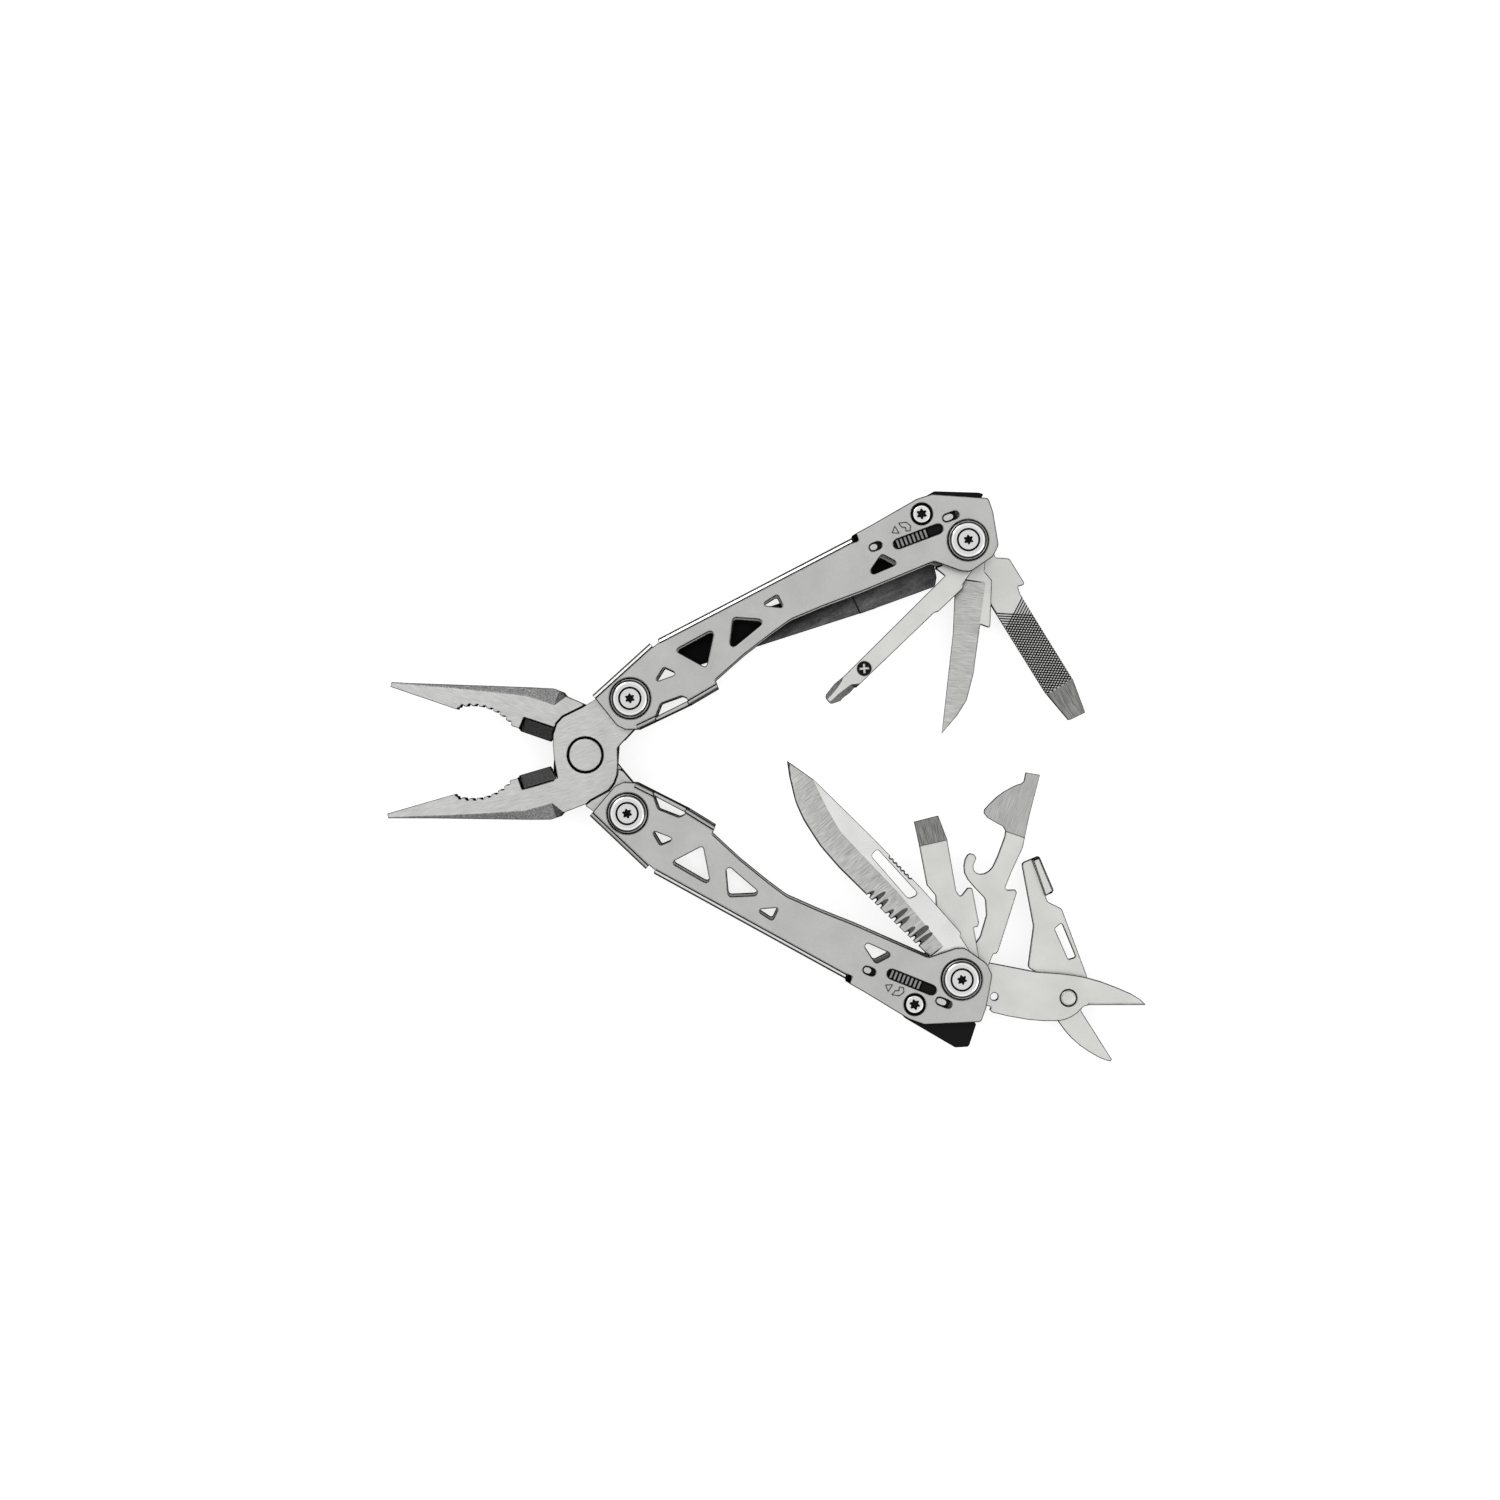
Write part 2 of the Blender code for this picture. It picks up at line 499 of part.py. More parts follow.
def scissors(pivot, steel, rivet_steel):
    heel = [(7.9, -7.5, 0.8), (13.9, -8.0), (19.0, -8.1), (23.0, -7.8), (26.2, -7.3), (28.0, -6.7),
            (29.6, -5.7), (30.9, -4.5), (31.6, -3.4), (32.3, -2.6), (33.6, -2.1)]
    beak = [(47.7, 0.0), (47.4, 0.4), (46.1, 1.3), (43.8, 2.3), (40.0, 3.3), (35.8, 4.2), (31.7, 4.7),
            (28.4, 4.8), (25.1, 4.7), (19.1, 4.2)]
    arm_corners = heel + beak
    arm, arm_holder = tool("scissors_arm", pivot, SCISSORS_ARM, arm_corners, (60, 275), steel)
    low, high = SCISSORS_ARM[1:]
    for label, centre, radius, bottom in (("hole", (9.5, -3.6), 0.95, low - 1),
                                          ("rivet_hole", SCISSORS_RIVET, RIVET_HOLE_R, low - 1),
                                          ("rivet_seat", SCISSORS_RIVET, 2.15, high - 0.7)):
        hole = [(disc(centre, radius, 16), bottom, high + 1)]
        cut(arm, prisms("scissors_arm_" + label, hole, arm_holder))
    rivet = [(0, -3.65), (1.2, -3.65), (1.2, high - 0.6), (2.0, high - 0.6), (2.0, high - 0.05),
             (0, high - 0.05)]
    turned("scissors_rivet", rivet, SCISSORS_RIVET, arm_holder, rivet_steel, segments=20)

    lever_low, lever_high = SCISSORS_LEVER[1:]
    holder = place("scissors_lever_pivot", (*SCISSORS_RIVET, 0), 0, arm_holder)
    finger = [(3.9, -2.9), (4.0, 6.1, 1.5), (-4.9, 22.0, 1.0), (-8.7, 23.2, 0.8), (-9.4, 24.5),
              (-7.5, 26.2, 0.5), (-12.6, 34.4, 0.5), (-16.7, 31.9, 0.9), (-11.3, 16.5, 2.0),
              (-11.1, 5.9, 1.0), (-7.3, 4.4)]
    cutting = [(-4.6, -1.4), (-1.3, -6.6), (0.5, -8.4), (2.5, -10.1), (5.0, -11.7), (7.3, -12.8),
               (10.1, -13.9), (11.8, -14.3), (13.1, -14.4), (13.5, -13.9)]
    corners = finger + cutting
    lever = prisms("scissors_lever", [(outline(corners, 2), lever_low, lever_high)], holder, steel)
    tab = [(-9.6, 24.7), (-8.0, 26.1), (-12.7, 33.8), (-14.0, 33.0)]
    fuse(lever, prisms("scissors_lever_tab", [(tab, lever_low + 0.3, -0.4)], holder))
    slot = outline([(-5.9, 16.7, 0.5), (-1.3, 9.5, 0.4), (0.5, 10.4, 0.4), (-4.4, 18.5, 0.5)])
    cut(lever, prisms("scissors_lever_slot", [(slot, lever_low - 1, lever_high + 1)], holder))
    cut(lever, prisms("scissors_lever_hole", [(disc((0, 0), RIVET_HOLE_R, 16), lever_low - 1, 0)], holder))


# ---- pocket clip -------------------------------------------------------------------------
CLIP_SCREWS = ((79.0, 1.0), (78.5, 5.6))


def pocket_clip(handle, black, screw_steel):
    """Sheet clip on the upper handle's back plate: a screwed base and a raised arm."""
    base = outline([(62.0, -4.8), (82.2, -6.6, 1.0), (83.6, -4.6, 1.0), (84.4, -1.0), (84.4, 5.5, 2.0),
                    (80.0, 8.0, 2.0), (66.0, 6.6, 2.0), (62.0, 4.3)])
    arm = outline([(66.0, 3.9), (19.0, 9.3, 2.5), (15.2, 7.6, 2.5), (15.6, 1.2, 2.0), (66.0, -5.2)])
    clip = prisms("pocket_clip", [(base, -8.3, -7.3)], handle, black)
    fuse(clip, prisms("pocket_clip_arm", [(arm, -8.78, -7.78)], handle))
    for i, centre in enumerate(CLIP_SCREWS):
        cut(clip, prisms(f"pocket_clip_hole_{i}", [(disc(centre, 1.1, 12), -10, -7)], handle))
        profile = [(0, -6.15), (0.9, -6.15), (0.9, -8.35), (1.8, -8.35), (1.6, -8.75), (0, -8.75)]
        turned(f"pocket_clip_screw_{i + 1}", profile, centre, handle, screw_steel, segments=16)


# ---- assembly ----------------------------------------------------------------------------
def carried(origin, angle, point):
    """Where a point of a turned frame lies in the world."""
    a = radians(angle)
    x = origin[0] + point[0] * cos(a) - point[1] * sin(a)
    y = origin[1] + point[0] * sin(a) + point[1] * cos(a)
    return (x, y)


def build():
    for obj in list(bpy.data.objects):
        bpy.data.objects.remove(obj)
    plier_steel = material("plier_steel", (0.52, 0.52, 0.52), 0.38)
    handle_steel = material("handle_steel", (0.62, 0.62, 0.61), 0.48)
    tool_steel = material("tool_steel", (0.66, 0.66, 0.65), 0.35)
    screw_steel = material("screw_steel", (0.72, 0.72, 0.72), 0.18)
    black = material("black_oxide", (0.03, 0.03, 0.03), 0.5, 0.6)

    front = place("front_half_frame", (*JAW_PIVOT, MID_Z), FRONT_JAW_ANGLE)
    rear = place("rear_half_frame", (*JAW_PIVOT, MID_Z), REAR_JAW_ANGLE)
    pliers(front, rear, plier_steel, screw_steel)

    upper_pivot = carried(JAW_PIVOT, FRONT_JAW_ANGLE, TANG_PIVOT)
    lower_pivot = carried(JAW_PIVOT, REAR_JAW_ANGLE, (TANG_PIVOT[0], -TANG_PIVOT[1]))
    upper = place("upper_handle", (*upper_pivot, MID_Z), UPPER_ANGLE)
    lower = place("lower_handle", (*lower_pivot, MID_Z), LOWER_ANGLE)
    handle_stack("upper", 1, upper, handle_steel, screw_steel, CLIP_SCREWS)
    handle_stack("lower", -1, lower, handle_steel, screw_steel)
    lock_parts("upper", 1, upper, UPPER_LOCK_BAR, screw_steel, black)
    lock_parts("lower", -1, lower, LOWER_LOCK_BAR, screw_steel, black)
    pocket_clip(upper, black, screw_steel)
    for prefix, handle, layers in (("upper", upper, UPPER_WASHERS), ("lower", lower, LOWER_WASHERS)):
        for i, (low, high) in enumerate(layers):
            washer(f"{prefix}_tool_washer_{i + 1}", (PIVOT_TO_TOOLS, 0), low, high, handle, screw_steel)

    upper_tools = carried(upper_pivot, UPPER_ANGLE, (PIVOT_TO_TOOLS, 0))
    lower_tools = carried(lower_pivot, LOWER_ANGLE, (PIVOT_TO_TOOLS, 0))
    cross_driver(upper_tools, tool_steel)
    awl(upper_tools, tool_steel)
    file_tool(upper_tools, tool_steel)
    main_blade(lower_tools, tool_steel)
    flat_driver(lower_tools, tool_steel)
    can_opener(lower_tools, tool_steel)
    scissors(lower_tools, tool_steel, screw_steel)


build()
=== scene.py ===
"""Looks of the butterfly multi tool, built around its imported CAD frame.

Nearly every visible piece starts as a copy of its CAD node, taken into its own pivot's frame, so it
stays where the CAD says. Grinds, teeth and engraving are then cut into the copy, and a bevel node in each
material rounds the edges. Lengths are in mm and angles in degrees until a mesh is made.
"""
import json
from math import atan2, cos, degrees, hypot, radians, sin, tan

import bmesh
import bpy
from mathutils import Matrix, Vector

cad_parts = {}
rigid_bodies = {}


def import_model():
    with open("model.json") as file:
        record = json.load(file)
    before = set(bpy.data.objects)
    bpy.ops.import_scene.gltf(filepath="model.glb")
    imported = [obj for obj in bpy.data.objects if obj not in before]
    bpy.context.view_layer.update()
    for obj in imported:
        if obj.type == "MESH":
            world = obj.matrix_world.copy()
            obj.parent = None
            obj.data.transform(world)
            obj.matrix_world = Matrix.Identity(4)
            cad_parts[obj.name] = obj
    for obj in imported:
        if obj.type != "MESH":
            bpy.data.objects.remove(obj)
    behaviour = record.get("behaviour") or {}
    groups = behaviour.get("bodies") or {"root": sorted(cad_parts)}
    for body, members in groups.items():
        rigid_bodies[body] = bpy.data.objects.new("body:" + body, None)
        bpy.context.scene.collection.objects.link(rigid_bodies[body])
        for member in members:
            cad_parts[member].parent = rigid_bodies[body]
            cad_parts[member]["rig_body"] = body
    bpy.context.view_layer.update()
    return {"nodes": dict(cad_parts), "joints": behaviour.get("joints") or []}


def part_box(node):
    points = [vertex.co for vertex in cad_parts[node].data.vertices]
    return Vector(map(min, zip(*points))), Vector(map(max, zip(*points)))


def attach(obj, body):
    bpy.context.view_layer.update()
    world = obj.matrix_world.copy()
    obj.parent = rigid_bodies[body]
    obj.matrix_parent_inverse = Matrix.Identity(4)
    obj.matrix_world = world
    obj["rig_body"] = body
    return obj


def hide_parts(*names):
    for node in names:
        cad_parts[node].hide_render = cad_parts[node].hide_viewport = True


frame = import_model()

MM = 0.001
JOINTS = {joint["name"]: joint for joint in frame["joints"]}


# ---- places: a pivot and a direction ----------------------------------------------------
def pivot_of(joint):
    return Vector(JOINTS[joint]["pos_m"]) / MM


def heading(start, end):
    return degrees(atan2(end.y - start.y, end.x - start.x))


class Place:
    """A turned frame on a pivot's axis, in which pieces are modelled. Side -1 is the mirrored handle's."""

    def __init__(self, origin, angle, side=1):
        self.origin = origin
        self.angle = angle
        self.side = side
        self.matrix = Matrix.Translation(origin * MM) @ Matrix.Rotation(radians(angle), 4, 'Z')

    def tool(self, joint):
        """The place of a folding tool: its stowed direction is back along the handle."""
        low = JOINTS[joint]["range_deg"][0] * JOINTS[joint]["axis"][2]
        return Place(pivot_of(joint), self.angle + 180 - low)


MID_Z = pivot_of("jaw_pivot").z
HANDLES = {}
for prefix, tool_joint, side in (("upper", "cross_driver_fold", 1), ("lower", "main_blade_fold", -1)):
    start = pivot_of(prefix + "_fold")
    HANDLES[prefix] = Place(start, heading(start, pivot_of(tool_joint)), side)
UPPER, LOWER = HANDLES["upper"], HANDLES["lower"]
PIVOT_TO_TOOLS = (pivot_of("main_blade_fold") - pivot_of("lower_fold")).length

TANG_PIVOT = (-14.90, -10.35)     # handle screw in a plier half's frame, x along its grip face
TANG_HEADING = degrees(atan2(TANG_PIVOT[1], TANG_PIVOT[0]))
FRONT_HALF = Place(pivot_of("jaw_pivot"), heading(pivot_of("jaw_pivot"), UPPER.origin) - TANG_HEADING)
REAR_HALF = Place(pivot_of("jaw_pivot"), heading(pivot_of("jaw_pivot"), LOWER.origin) + TANG_HEADING, -1)
SCISSORS = LOWER.tool("scissors_fold")
LEVER = Place(pivot_of("scissors_squeeze"), SCISSORS.angle)


def span_z(node):
    """Lowest and highest z of a node, from the tool's middle plane."""
    low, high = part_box(node)
    return low.z / MM - MID_Z, high.z / MM - MID_Z


# ---- materials --------------------------------------------------------------------------
BEVEL_SAMPLES = 8
EDGE_PAINTED_SHADE = 0.03                      # painted shade: the grey left along the very edges, standing in for their dark outlines
EDGE_PAINTED_SHADE_FLATNESS = (0.95, 0.98)     # full painted shade below, none above
RUBBED_FLATNESS = (0.95, 0.995)   # fully rubbed below, not at all above


class Shader:
    """A Principled material under construction. Its edges look rounded by a radius of rounding mm."""

    def __init__(self, name, metallic=1.0, turn=0.0, rounding=0.5):
        self.material = bpy.data.materials.new(name)
        self.material.use_nodes = True
        self.tree = self.material.node_tree
        self.principled = self.tree.nodes["Principled BSDF"]
        self.principled.inputs["Metallic"].default_value = metallic
        self.coords = self.tree.nodes.new("ShaderNodeTexCoord").outputs["Object"]
        self.turn = turn
        self.rounded = self.tree.nodes.new("ShaderNodeBevel")
        self.rounded.samples = BEVEL_SAMPLES
        self.rounded.inputs["Radius"].default_value = rounding * MM
        face = self.tree.nodes.new("ShaderNodeNewGeometry").outputs["True Normal"]
        both = {0: self.rounded.outputs[0], 1: face}
        self.flatness = self.node("ShaderNodeVectorMath", both, operation='DOT_PRODUCT').outputs["Value"]

    def node(self, kind, inputs=(), **settings):
        made = self.tree.nodes.new(kind)
        for key, value in settings.items():
            setattr(made, key, value)
        for key, value in dict(inputs).items():
            if isinstance(value, bpy.types.NodeSocket):
                self.tree.links.new(value, made.inputs[key])
            else:
                made.inputs[key].default_value = value
        return made

    def noise(self, size, detail=3.0, roughness=0.6):
        """Noise whose features are size (x, y, z) mm, with x turned to the material's direction."""
        scale = tuple(s * MM for s in size)
        placing = {"Vector": self.coords, "Scale": scale, "Rotation": (0, 0, radians(self.turn))}
        mapped = self.node("ShaderNodeMapping", placing, vector_type='TEXTURE')
        settings = {"Vector": mapped.outputs[0], "Scale": 1.0, "Detail": detail, "Roughness": roughness}
        return self.node("ShaderNodeTexNoise", settings).outputs["Fac"]

    def ranged(self, value, low, high, from_low=0.3, from_high=0.7):
        """A socket that goes from low to high as value, such as noise, goes between its own limits."""
        limits = {"From Min": from_low, "From Max": from_high, "To Min": low, "To Max": high}
        return self.node("ShaderNodeMapRange", {"Value": value, **limits}).outputs["Result"]

    def times(self, a, b):
        return self.node("ShaderNodeMath", {0: a, 1: b}, operation='MULTIPLY').outputs[0]

    def tint(self, colour, shade):
        """Base colour = colour times a grey shade socket, with painted shade along the very edges."""
        shade = self.times(shade, self.ranged(self.flatness, EDGE_PAINTED_SHADE, 1.0, *EDGE_PAINTED_SHADE_FLATNESS))
        grey = self.node("ShaderNodeCombineColor", {"Red": shade, "Green": shade, "Blue": shade})
        mixed = self.node("ShaderNodeMix", data_type='RGBA', blend_type='MULTIPLY')
        mixed.inputs[0].default_value = 1.0
        mixed.inputs[6].default_value = (*colour, 1.0)
        self.tree.links.new(grey.outputs[0], mixed.inputs[7])
        self.tree.links.new(mixed.outputs[2], self.principled.inputs["Base Color"])

    def rough(self, socket, polish=0.15):
        """Roughness, falling to polish where an edge has been rubbed."""
        rubbed = self.ranged(self.flatness, 1.0, 0.0, *RUBBED_FLATNESS)
        mixed = self.node("ShaderNodeMix", {0: rubbed, 2: socket, 3: polish}, data_type='FLOAT')
        self.tree.links.new(mixed.outputs[0], self.principled.inputs["Roughness"])

    def bump(self, socket, distance):
        """Relief of distance mm over the rounded normal."""
        made = self.node("ShaderNodeBump", {"Height": socket, "Distance": distance * MM, "Strength": 1.0,
                                            "Normal": self.rounded.outputs[0]})
        self.tree.links.new(made.outputs[0], self.principled.inputs["Normal"])


def brushed(name, colour, roughness, streak, contrast=0.25, relief=0.006, blotch=0.06, turn=0.0,
            rounding=0.5):
    """Brushed metal: streak is the size (x, y, z) mm of one stroke."""
    shader = Shader(name, turn=turn, rounding=rounding)
    fine = shader.noise(streak, 4.0, 0.65)
    cloudy = shader.noise((7.0, 7.0, 7.0), 2.0)
    shade = shader.times(shader.ranged(fine, 1.0 - contrast, 1.0 + contrast * 0.5),
                         shader.ranged(cloudy, 1.0 - blotch, 1.0 + blotch))
    shader.tint(colour, shade)
    shader.rough(shader.ranged(fine, roughness + 0.08, roughness - 0.06))
    shader.bump(fine, relief)
    return shader.material


def blasted(name, colour, roughness, grain=0.22, contrast=0.06, relief=0.008, rounding=0.5):
    """Bead-blasted or cast metal: an even grain."""
    shader = Shader(name, rounding=rounding)
    fine = shader.noise((grain, grain, grain), 3.0, 0.7)
    cloudy = shader.noise((9.0, 9.0, 9.0), 2.0)
    shade = shader.times(shader.ranged(fine, 1.0 - contrast, 1.0 + contrast),
                         shader.ranged(cloudy, 0.94, 1.05))
    shader.tint(colour, shade)
    shader.rough(shader.ranged(fine, roughness - 0.05, roughness + 0.07))
    shader.bump(fine, relief)
    return shader.material


COATING_SPECULAR = 0.12


def coated(name, roughness):
    """Black oxide or paint with a mottled grain."""
    shader = Shader(name, metallic=0.0)
    shader.principled.inputs["Specular IOR Level"].default_value = COATING_SPECULAR
    fine = shader.noise((0.35, 0.35, 0.35), 4.0, 0.7)
    shader.tint((0.006, 0.006, 0.006), shader.ranged(fine, 0.7, 1.3))
    shader.rough(shader.ranged(fine, roughness - 0.08, roughness + 0.1), roughness)
    shader.bump(fine, 0.01)
    return shader.material


def clip_with_painted_shade(place):
    """Spring steel in a mottled grey where it stands out beside the handle, and near-black under the handle:
    painted shade.
    """
    shader = Shader("clip_steel_with_painted_shade", metallic=0.55, turn=place.angle)
    shader.principled.inputs["Specular IOR Level"].default_value = COATING_SPECULAR
    placing = {"Vector": shader.coords, "Location": tuple(place.origin * MM), "Scale": (MM, MM, MM),
               "Rotation": (0, 0, radians(place.angle))}
    turned_in = shader.node("ShaderNodeMapping", placing, vector_type='TEXTURE')
    across = shader.node("ShaderNodeSeparateXYZ", {0: turned_in.outputs[0]}).outputs["Y"]
    clear_of_painted_shade = shader.ranged(across, 1.0, 0.0, -3.2, 1.0)
    fine = shader.noise((0.45, 0.45, 0.45), 5.0, 0.75)
    cloudy = shader.noise((3.5, 1.2, 3.0), 2.0)
    grey = shader.times(shader.ranged(fine, 0.10, 0.30), shader.ranged(cloudy, 0.6, 1.25))
    # Near-black under the handle: painted shade where the handle covers the clip.
    shade = shader.node("ShaderNodeMix", {0: clear_of_painted_shade, 2: 0.006, 3: grey}, data_type='FLOAT').outputs[0]
    shader.tint((1.0, 1.0, 1.02), shade)
    shader.rough(shader.ranged(fine, 0.36, 0.52), 0.4)
    shader.bump(fine, 0.02)
    return shader.material


PLATE = blasted("plate_blasted", (0.60, 0.60, 0.585), 0.38, contrast=0.09, rounding=0.75)
# Bright steel for worn rims and the slider's ends; on the handle's long lip its brightness is a painted
# highlight.
EDGE = brushed("worn_edge_and_painted_highlight", (0.74, 0.74, 0.73), 0.16, (0.5, 0.5, 0.5), 0.08, 0.001, rounding=0.12)
# Darker steel on the short lips: painted shade on the bends.
FOLDED = brushed("folded_lip_painted_shade", (0.50, 0.50, 0.49), 0.30, (3.0, 0.3, 0.3), 0.15, rounding=0.15)
# Side walls darker than the faces, and the frame's walls near-black: painted shade.
PAINTED_SHADE_WALL = brushed("side_wall_painted_shade", (0.34, 0.34, 0.34), 0.35, (1.5, 1.5, 0.15), 0.2, rounding=0.12)
PAINTED_SHADE_HOLE_WALL = brushed("hole_wall_painted_shade", (0.10, 0.10, 0.10), 0.40, (1.5, 1.5, 0.15), 0.2)
TEETH = blasted("file_teeth", (0.66, 0.66, 0.65), 0.34, 0.2, 0.2, rounding=0.06)
# Near-black for the engraved marks, and painted shade in grooves, sockets, notches, teeth and gaps.
DARK_ENGRAVING_AND_PAINTED_SHADE = coated("engraving_and_painted_shade", 0.6)
CAST = blasted("cast_facet", (0.62, 0.62, 0.62), 0.45, 0.40, 0.60, 0.05)
# Dark steel on the driver tip's sloping flanks: painted shade.
FLANK_PAINTED_SHADE = blasted("driver_flank_painted_shade", (0.26, 0.26, 0.26), 0.42, 0.40, 0.60, 0.05, 0.15)
# Near-black steel in the serrations, in the file's grooves and on the pliers' cutter facet: painted shade.
CUT_PAINTED_SHADE = blasted("cutter_painted_shade", (0.12, 0.12, 0.12), 0.45, 0.30, 0.6, 0.03)
POLISHED = brushed("polished_steel", (0.90, 0.90, 0.90), 0.13, (2.0, 2.0, 2.0), 0.03, 0.0005, 0.02,
                   rounding=0.1)
SATIN = blasted("satin_steel", (0.80, 0.805, 0.775), 0.32, 0.18, 0.05, 0.004, 0.65)
BRIGHT = blasted("bright_flat", (0.93, 0.93, 0.92), 0.26, 0.18, 0.03, 0.003)
BLACK = coated("black_oxide", 0.55)
WASHER = brushed("washer_steel", (0.62, 0.62, 0.61), 0.25, (0.4, 0.4, 0.4), 0.1)


def plier_brushed(place):
    """Strokes along a plier half."""
    return brushed("plier_brushed", (0.74, 0.74, 0.725), 0.30, (3.2, 0.16, 1.0), 0.30, turn=place.angle)


def lengthwise(place):
    """Coarse strokes along a tool."""
    return brushed("lengthwise_brushed", (0.60, 0.60, 0.585), 0.28, (4.0, 0.13, 1.0), 0.42, 0.010,
                   turn=place.angle)


def crosswise(place, contrast=0.5, pitch=0.14):
    """Grinding marks across a tool, pitch mm apart."""
    return brushed("ground_bevel", (0.66, 0.66, 0.64), 0.26, (pitch, 3.2, 1.0), contrast, 0.010,
                   turn=place.angle)


def dark_tip(place):
    """Deep, dark strokes along a driver's end."""
    return brushed("dark_brushed_tip", (0.34, 0.34, 0.33), 0.28, (4.0, 0.22, 1.0), 0.8, 0.02,
                   turn=place.angle)


def honed(place):
    """Fine marks across a cutting edge."""
    return brushed("honed_edge", (0.24, 0.24, 0.24), 0.22, (0.1, 1.5, 1.0), 0.3, turn=place.angle)


# ---- outlines ---------------------------------------------------------------------------
def arc(centre, radius, start, end, steps):
    """Points round a centre from the angle start to end, both included."""
    points = []
    for i in range(steps + 1):
        a = radians(start + (end - start) * i / steps)
        points.append((centre[0] + radius * cos(a), centre[1] + radius * sin(a)))
    return points


def flipped(points, side):
    """The points as they lie in the handle, or in the plier half, of that side."""
    return [(x, y * side) for x, y in points]


def spot(points, x):
    """y at x on a polyline of (x, y) points in rising x."""
    for (x0, y0), (x1, y1) in zip(points, points[1:]):
        if x <= x1:
            return y0 + (y1 - y0) * (x - x0) / (x1 - x0)
    return points[-1][1]


def stroke(start, end, width):
    """The four corners of a straight line of some width."""
    length = hypot(end[0] - start[0], end[1] - start[1])
    along = ((end[0] - start[0]) / length, (end[1] - start[1]) / length)
    off = (-along[1] * width / 2, along[0] * width / 2)
    return [(start[0] - off[0], start[1] - off[1]), (end[0] - off[0], end[1] - off[1]),
            (end[0] + off[0], end[1] + off[1]), (start[0] + off[0], start[1] + off[1])]


def star(centre, radius, turn):
    """Six-lobed driver socket."""
    lobe, steps = 0.17, 60
    points = []
    for i in range(steps):
        a = 360.0 * i / steps
        r = radius * (1.0 - lobe + lobe * cos(radians(6 * (a - turn))))
        points.append((centre[0] + r * cos(radians(a)), centre[1] + r * sin(radians(a))))
    return points


# ---- meshes -----------------------------------------------------------------------------
def new_object(name, bm, place, materials):
    bmesh.ops.recalc_face_normals(bm, faces=bm.faces)
    mesh = bpy.data.meshes.new(name)
    bm.to_mesh(mesh)
    bm.free()
    for mat in materials:
        mesh.materials.append(mat)
    obj = bpy.data.objects.new(name, mesh)
    bpy.context.scene.collection.objects.link(obj)
    obj.matrix_world = place.matrix
    return obj


def loft(bm, sections):
    """A closed solid through sections with the same number of (x, y, z) mm points."""
    rings = [[bm.verts.new(Vector(p) * MM) for p in section] for section in sections]
    bm.faces.new(list(reversed(rings[0])))
    bm.faces.new(rings[-1])
    for lower, upper in zip(rings, rings[1:]):
        for i in range(len(lower)):
            j = (i + 1) % len(lower)
            bm.faces.new((lower[i], lower[j], upper[j], upper[i]))


def turned(bm, profile, centre, segments=72):
    """Turn an open (radius, z) profile that starts and ends on the axis."""
    rings = []
    for radius, z in profile:
        if radius == 0:
            rings.append([bm.verts.new(Vector((*centre, z)) * MM)])
        else:
            circle = arc(centre, radius, 0, 360 - 360 / segments, segments - 1)
            rings.append([bm.verts.new(Vector((x, y, z)) * MM) for x, y in circle])
    for lower, upper in zip(rings, rings[1:]):
        for i in range(segments):
            j = (i + 1) % segments
            quad = [lower[i % len(lower)], lower[j % len(lower)]]
            quad += [upper[j % len(upper)], upper[i % len(upper)]]
            bm.faces.new(list(dict.fromkeys(quad)))


WELD = 0.002                      # two points of a CAD node nearer than this are one
CLEAN = 0.001                     # and after a cut
WALL_UP = 0.3                     # z of the normal: a wall's is below this
FACE_UP = 0.9                     # and a flat face's above this


def copy_of(node, place, mat, rim=0.0, rims_and_walls=None):
    """A copy of a CAD node in the place's frame, its flat faces merged again.

    Its flat faces take mat, and its rims and walls take the material given for them, or else EDGE and the
    darker wall steel, whose darkness is painted shade. A rim is the width of the rounding along the flat
    faces.
    """
    bm = bmesh.new()
    bm.from_mesh(frame["nodes"][node].data)
    bmesh.ops.transform(bm, matrix=place.matrix.inverted(), verts=bm.verts)
    bmesh.ops.remove_doubles(bm, verts=bm.verts, dist=WELD * MM)
    bmesh.ops.dissolve_limit(bm, angle_limit=radians(1.0), verts=bm.verts, edges=bm.edges)
    for layer in list(bm.loops.layers.uv.values()):
        bm.loops.layers.uv.remove(layer)
    bm.normal_update()
    round_rims(bm, rim)
    obj = new_object(node + "_fine", bm, place, [mat, rims_and_walls or EDGE, rims_and_walls or PAINTED_SHADE_WALL])
    for attribute in ("custom_normal", "sharp_face", "sharp_edge"):
        if attribute in obj.data.attributes:
            obj.data.attributes.remove(obj.data.attributes[attribute])
    return obj


def round_rims(bm, width):
    """Round the edges between the flat faces and the walls. Rims take material 1 and walls material 2."""
    rims = []
    for edge in bm.edges:
        steep = sorted(abs(face.normal.z) for face in edge.link_faces)
        if len(steep) == 2 and steep[0] < WALL_UP and steep[1] > FACE_UP:
            rims.append(edge)
    for face in bm.faces:
        face.material_index = 2 if abs(face.normal.z) < WALL_UP else 0
    if width:
        bmesh.ops.bevel(bm, geom=rims, offset=width * MM, segments=3, profile=0.5, affect='EDGES',
                        material=1, clamp_overlap=True)


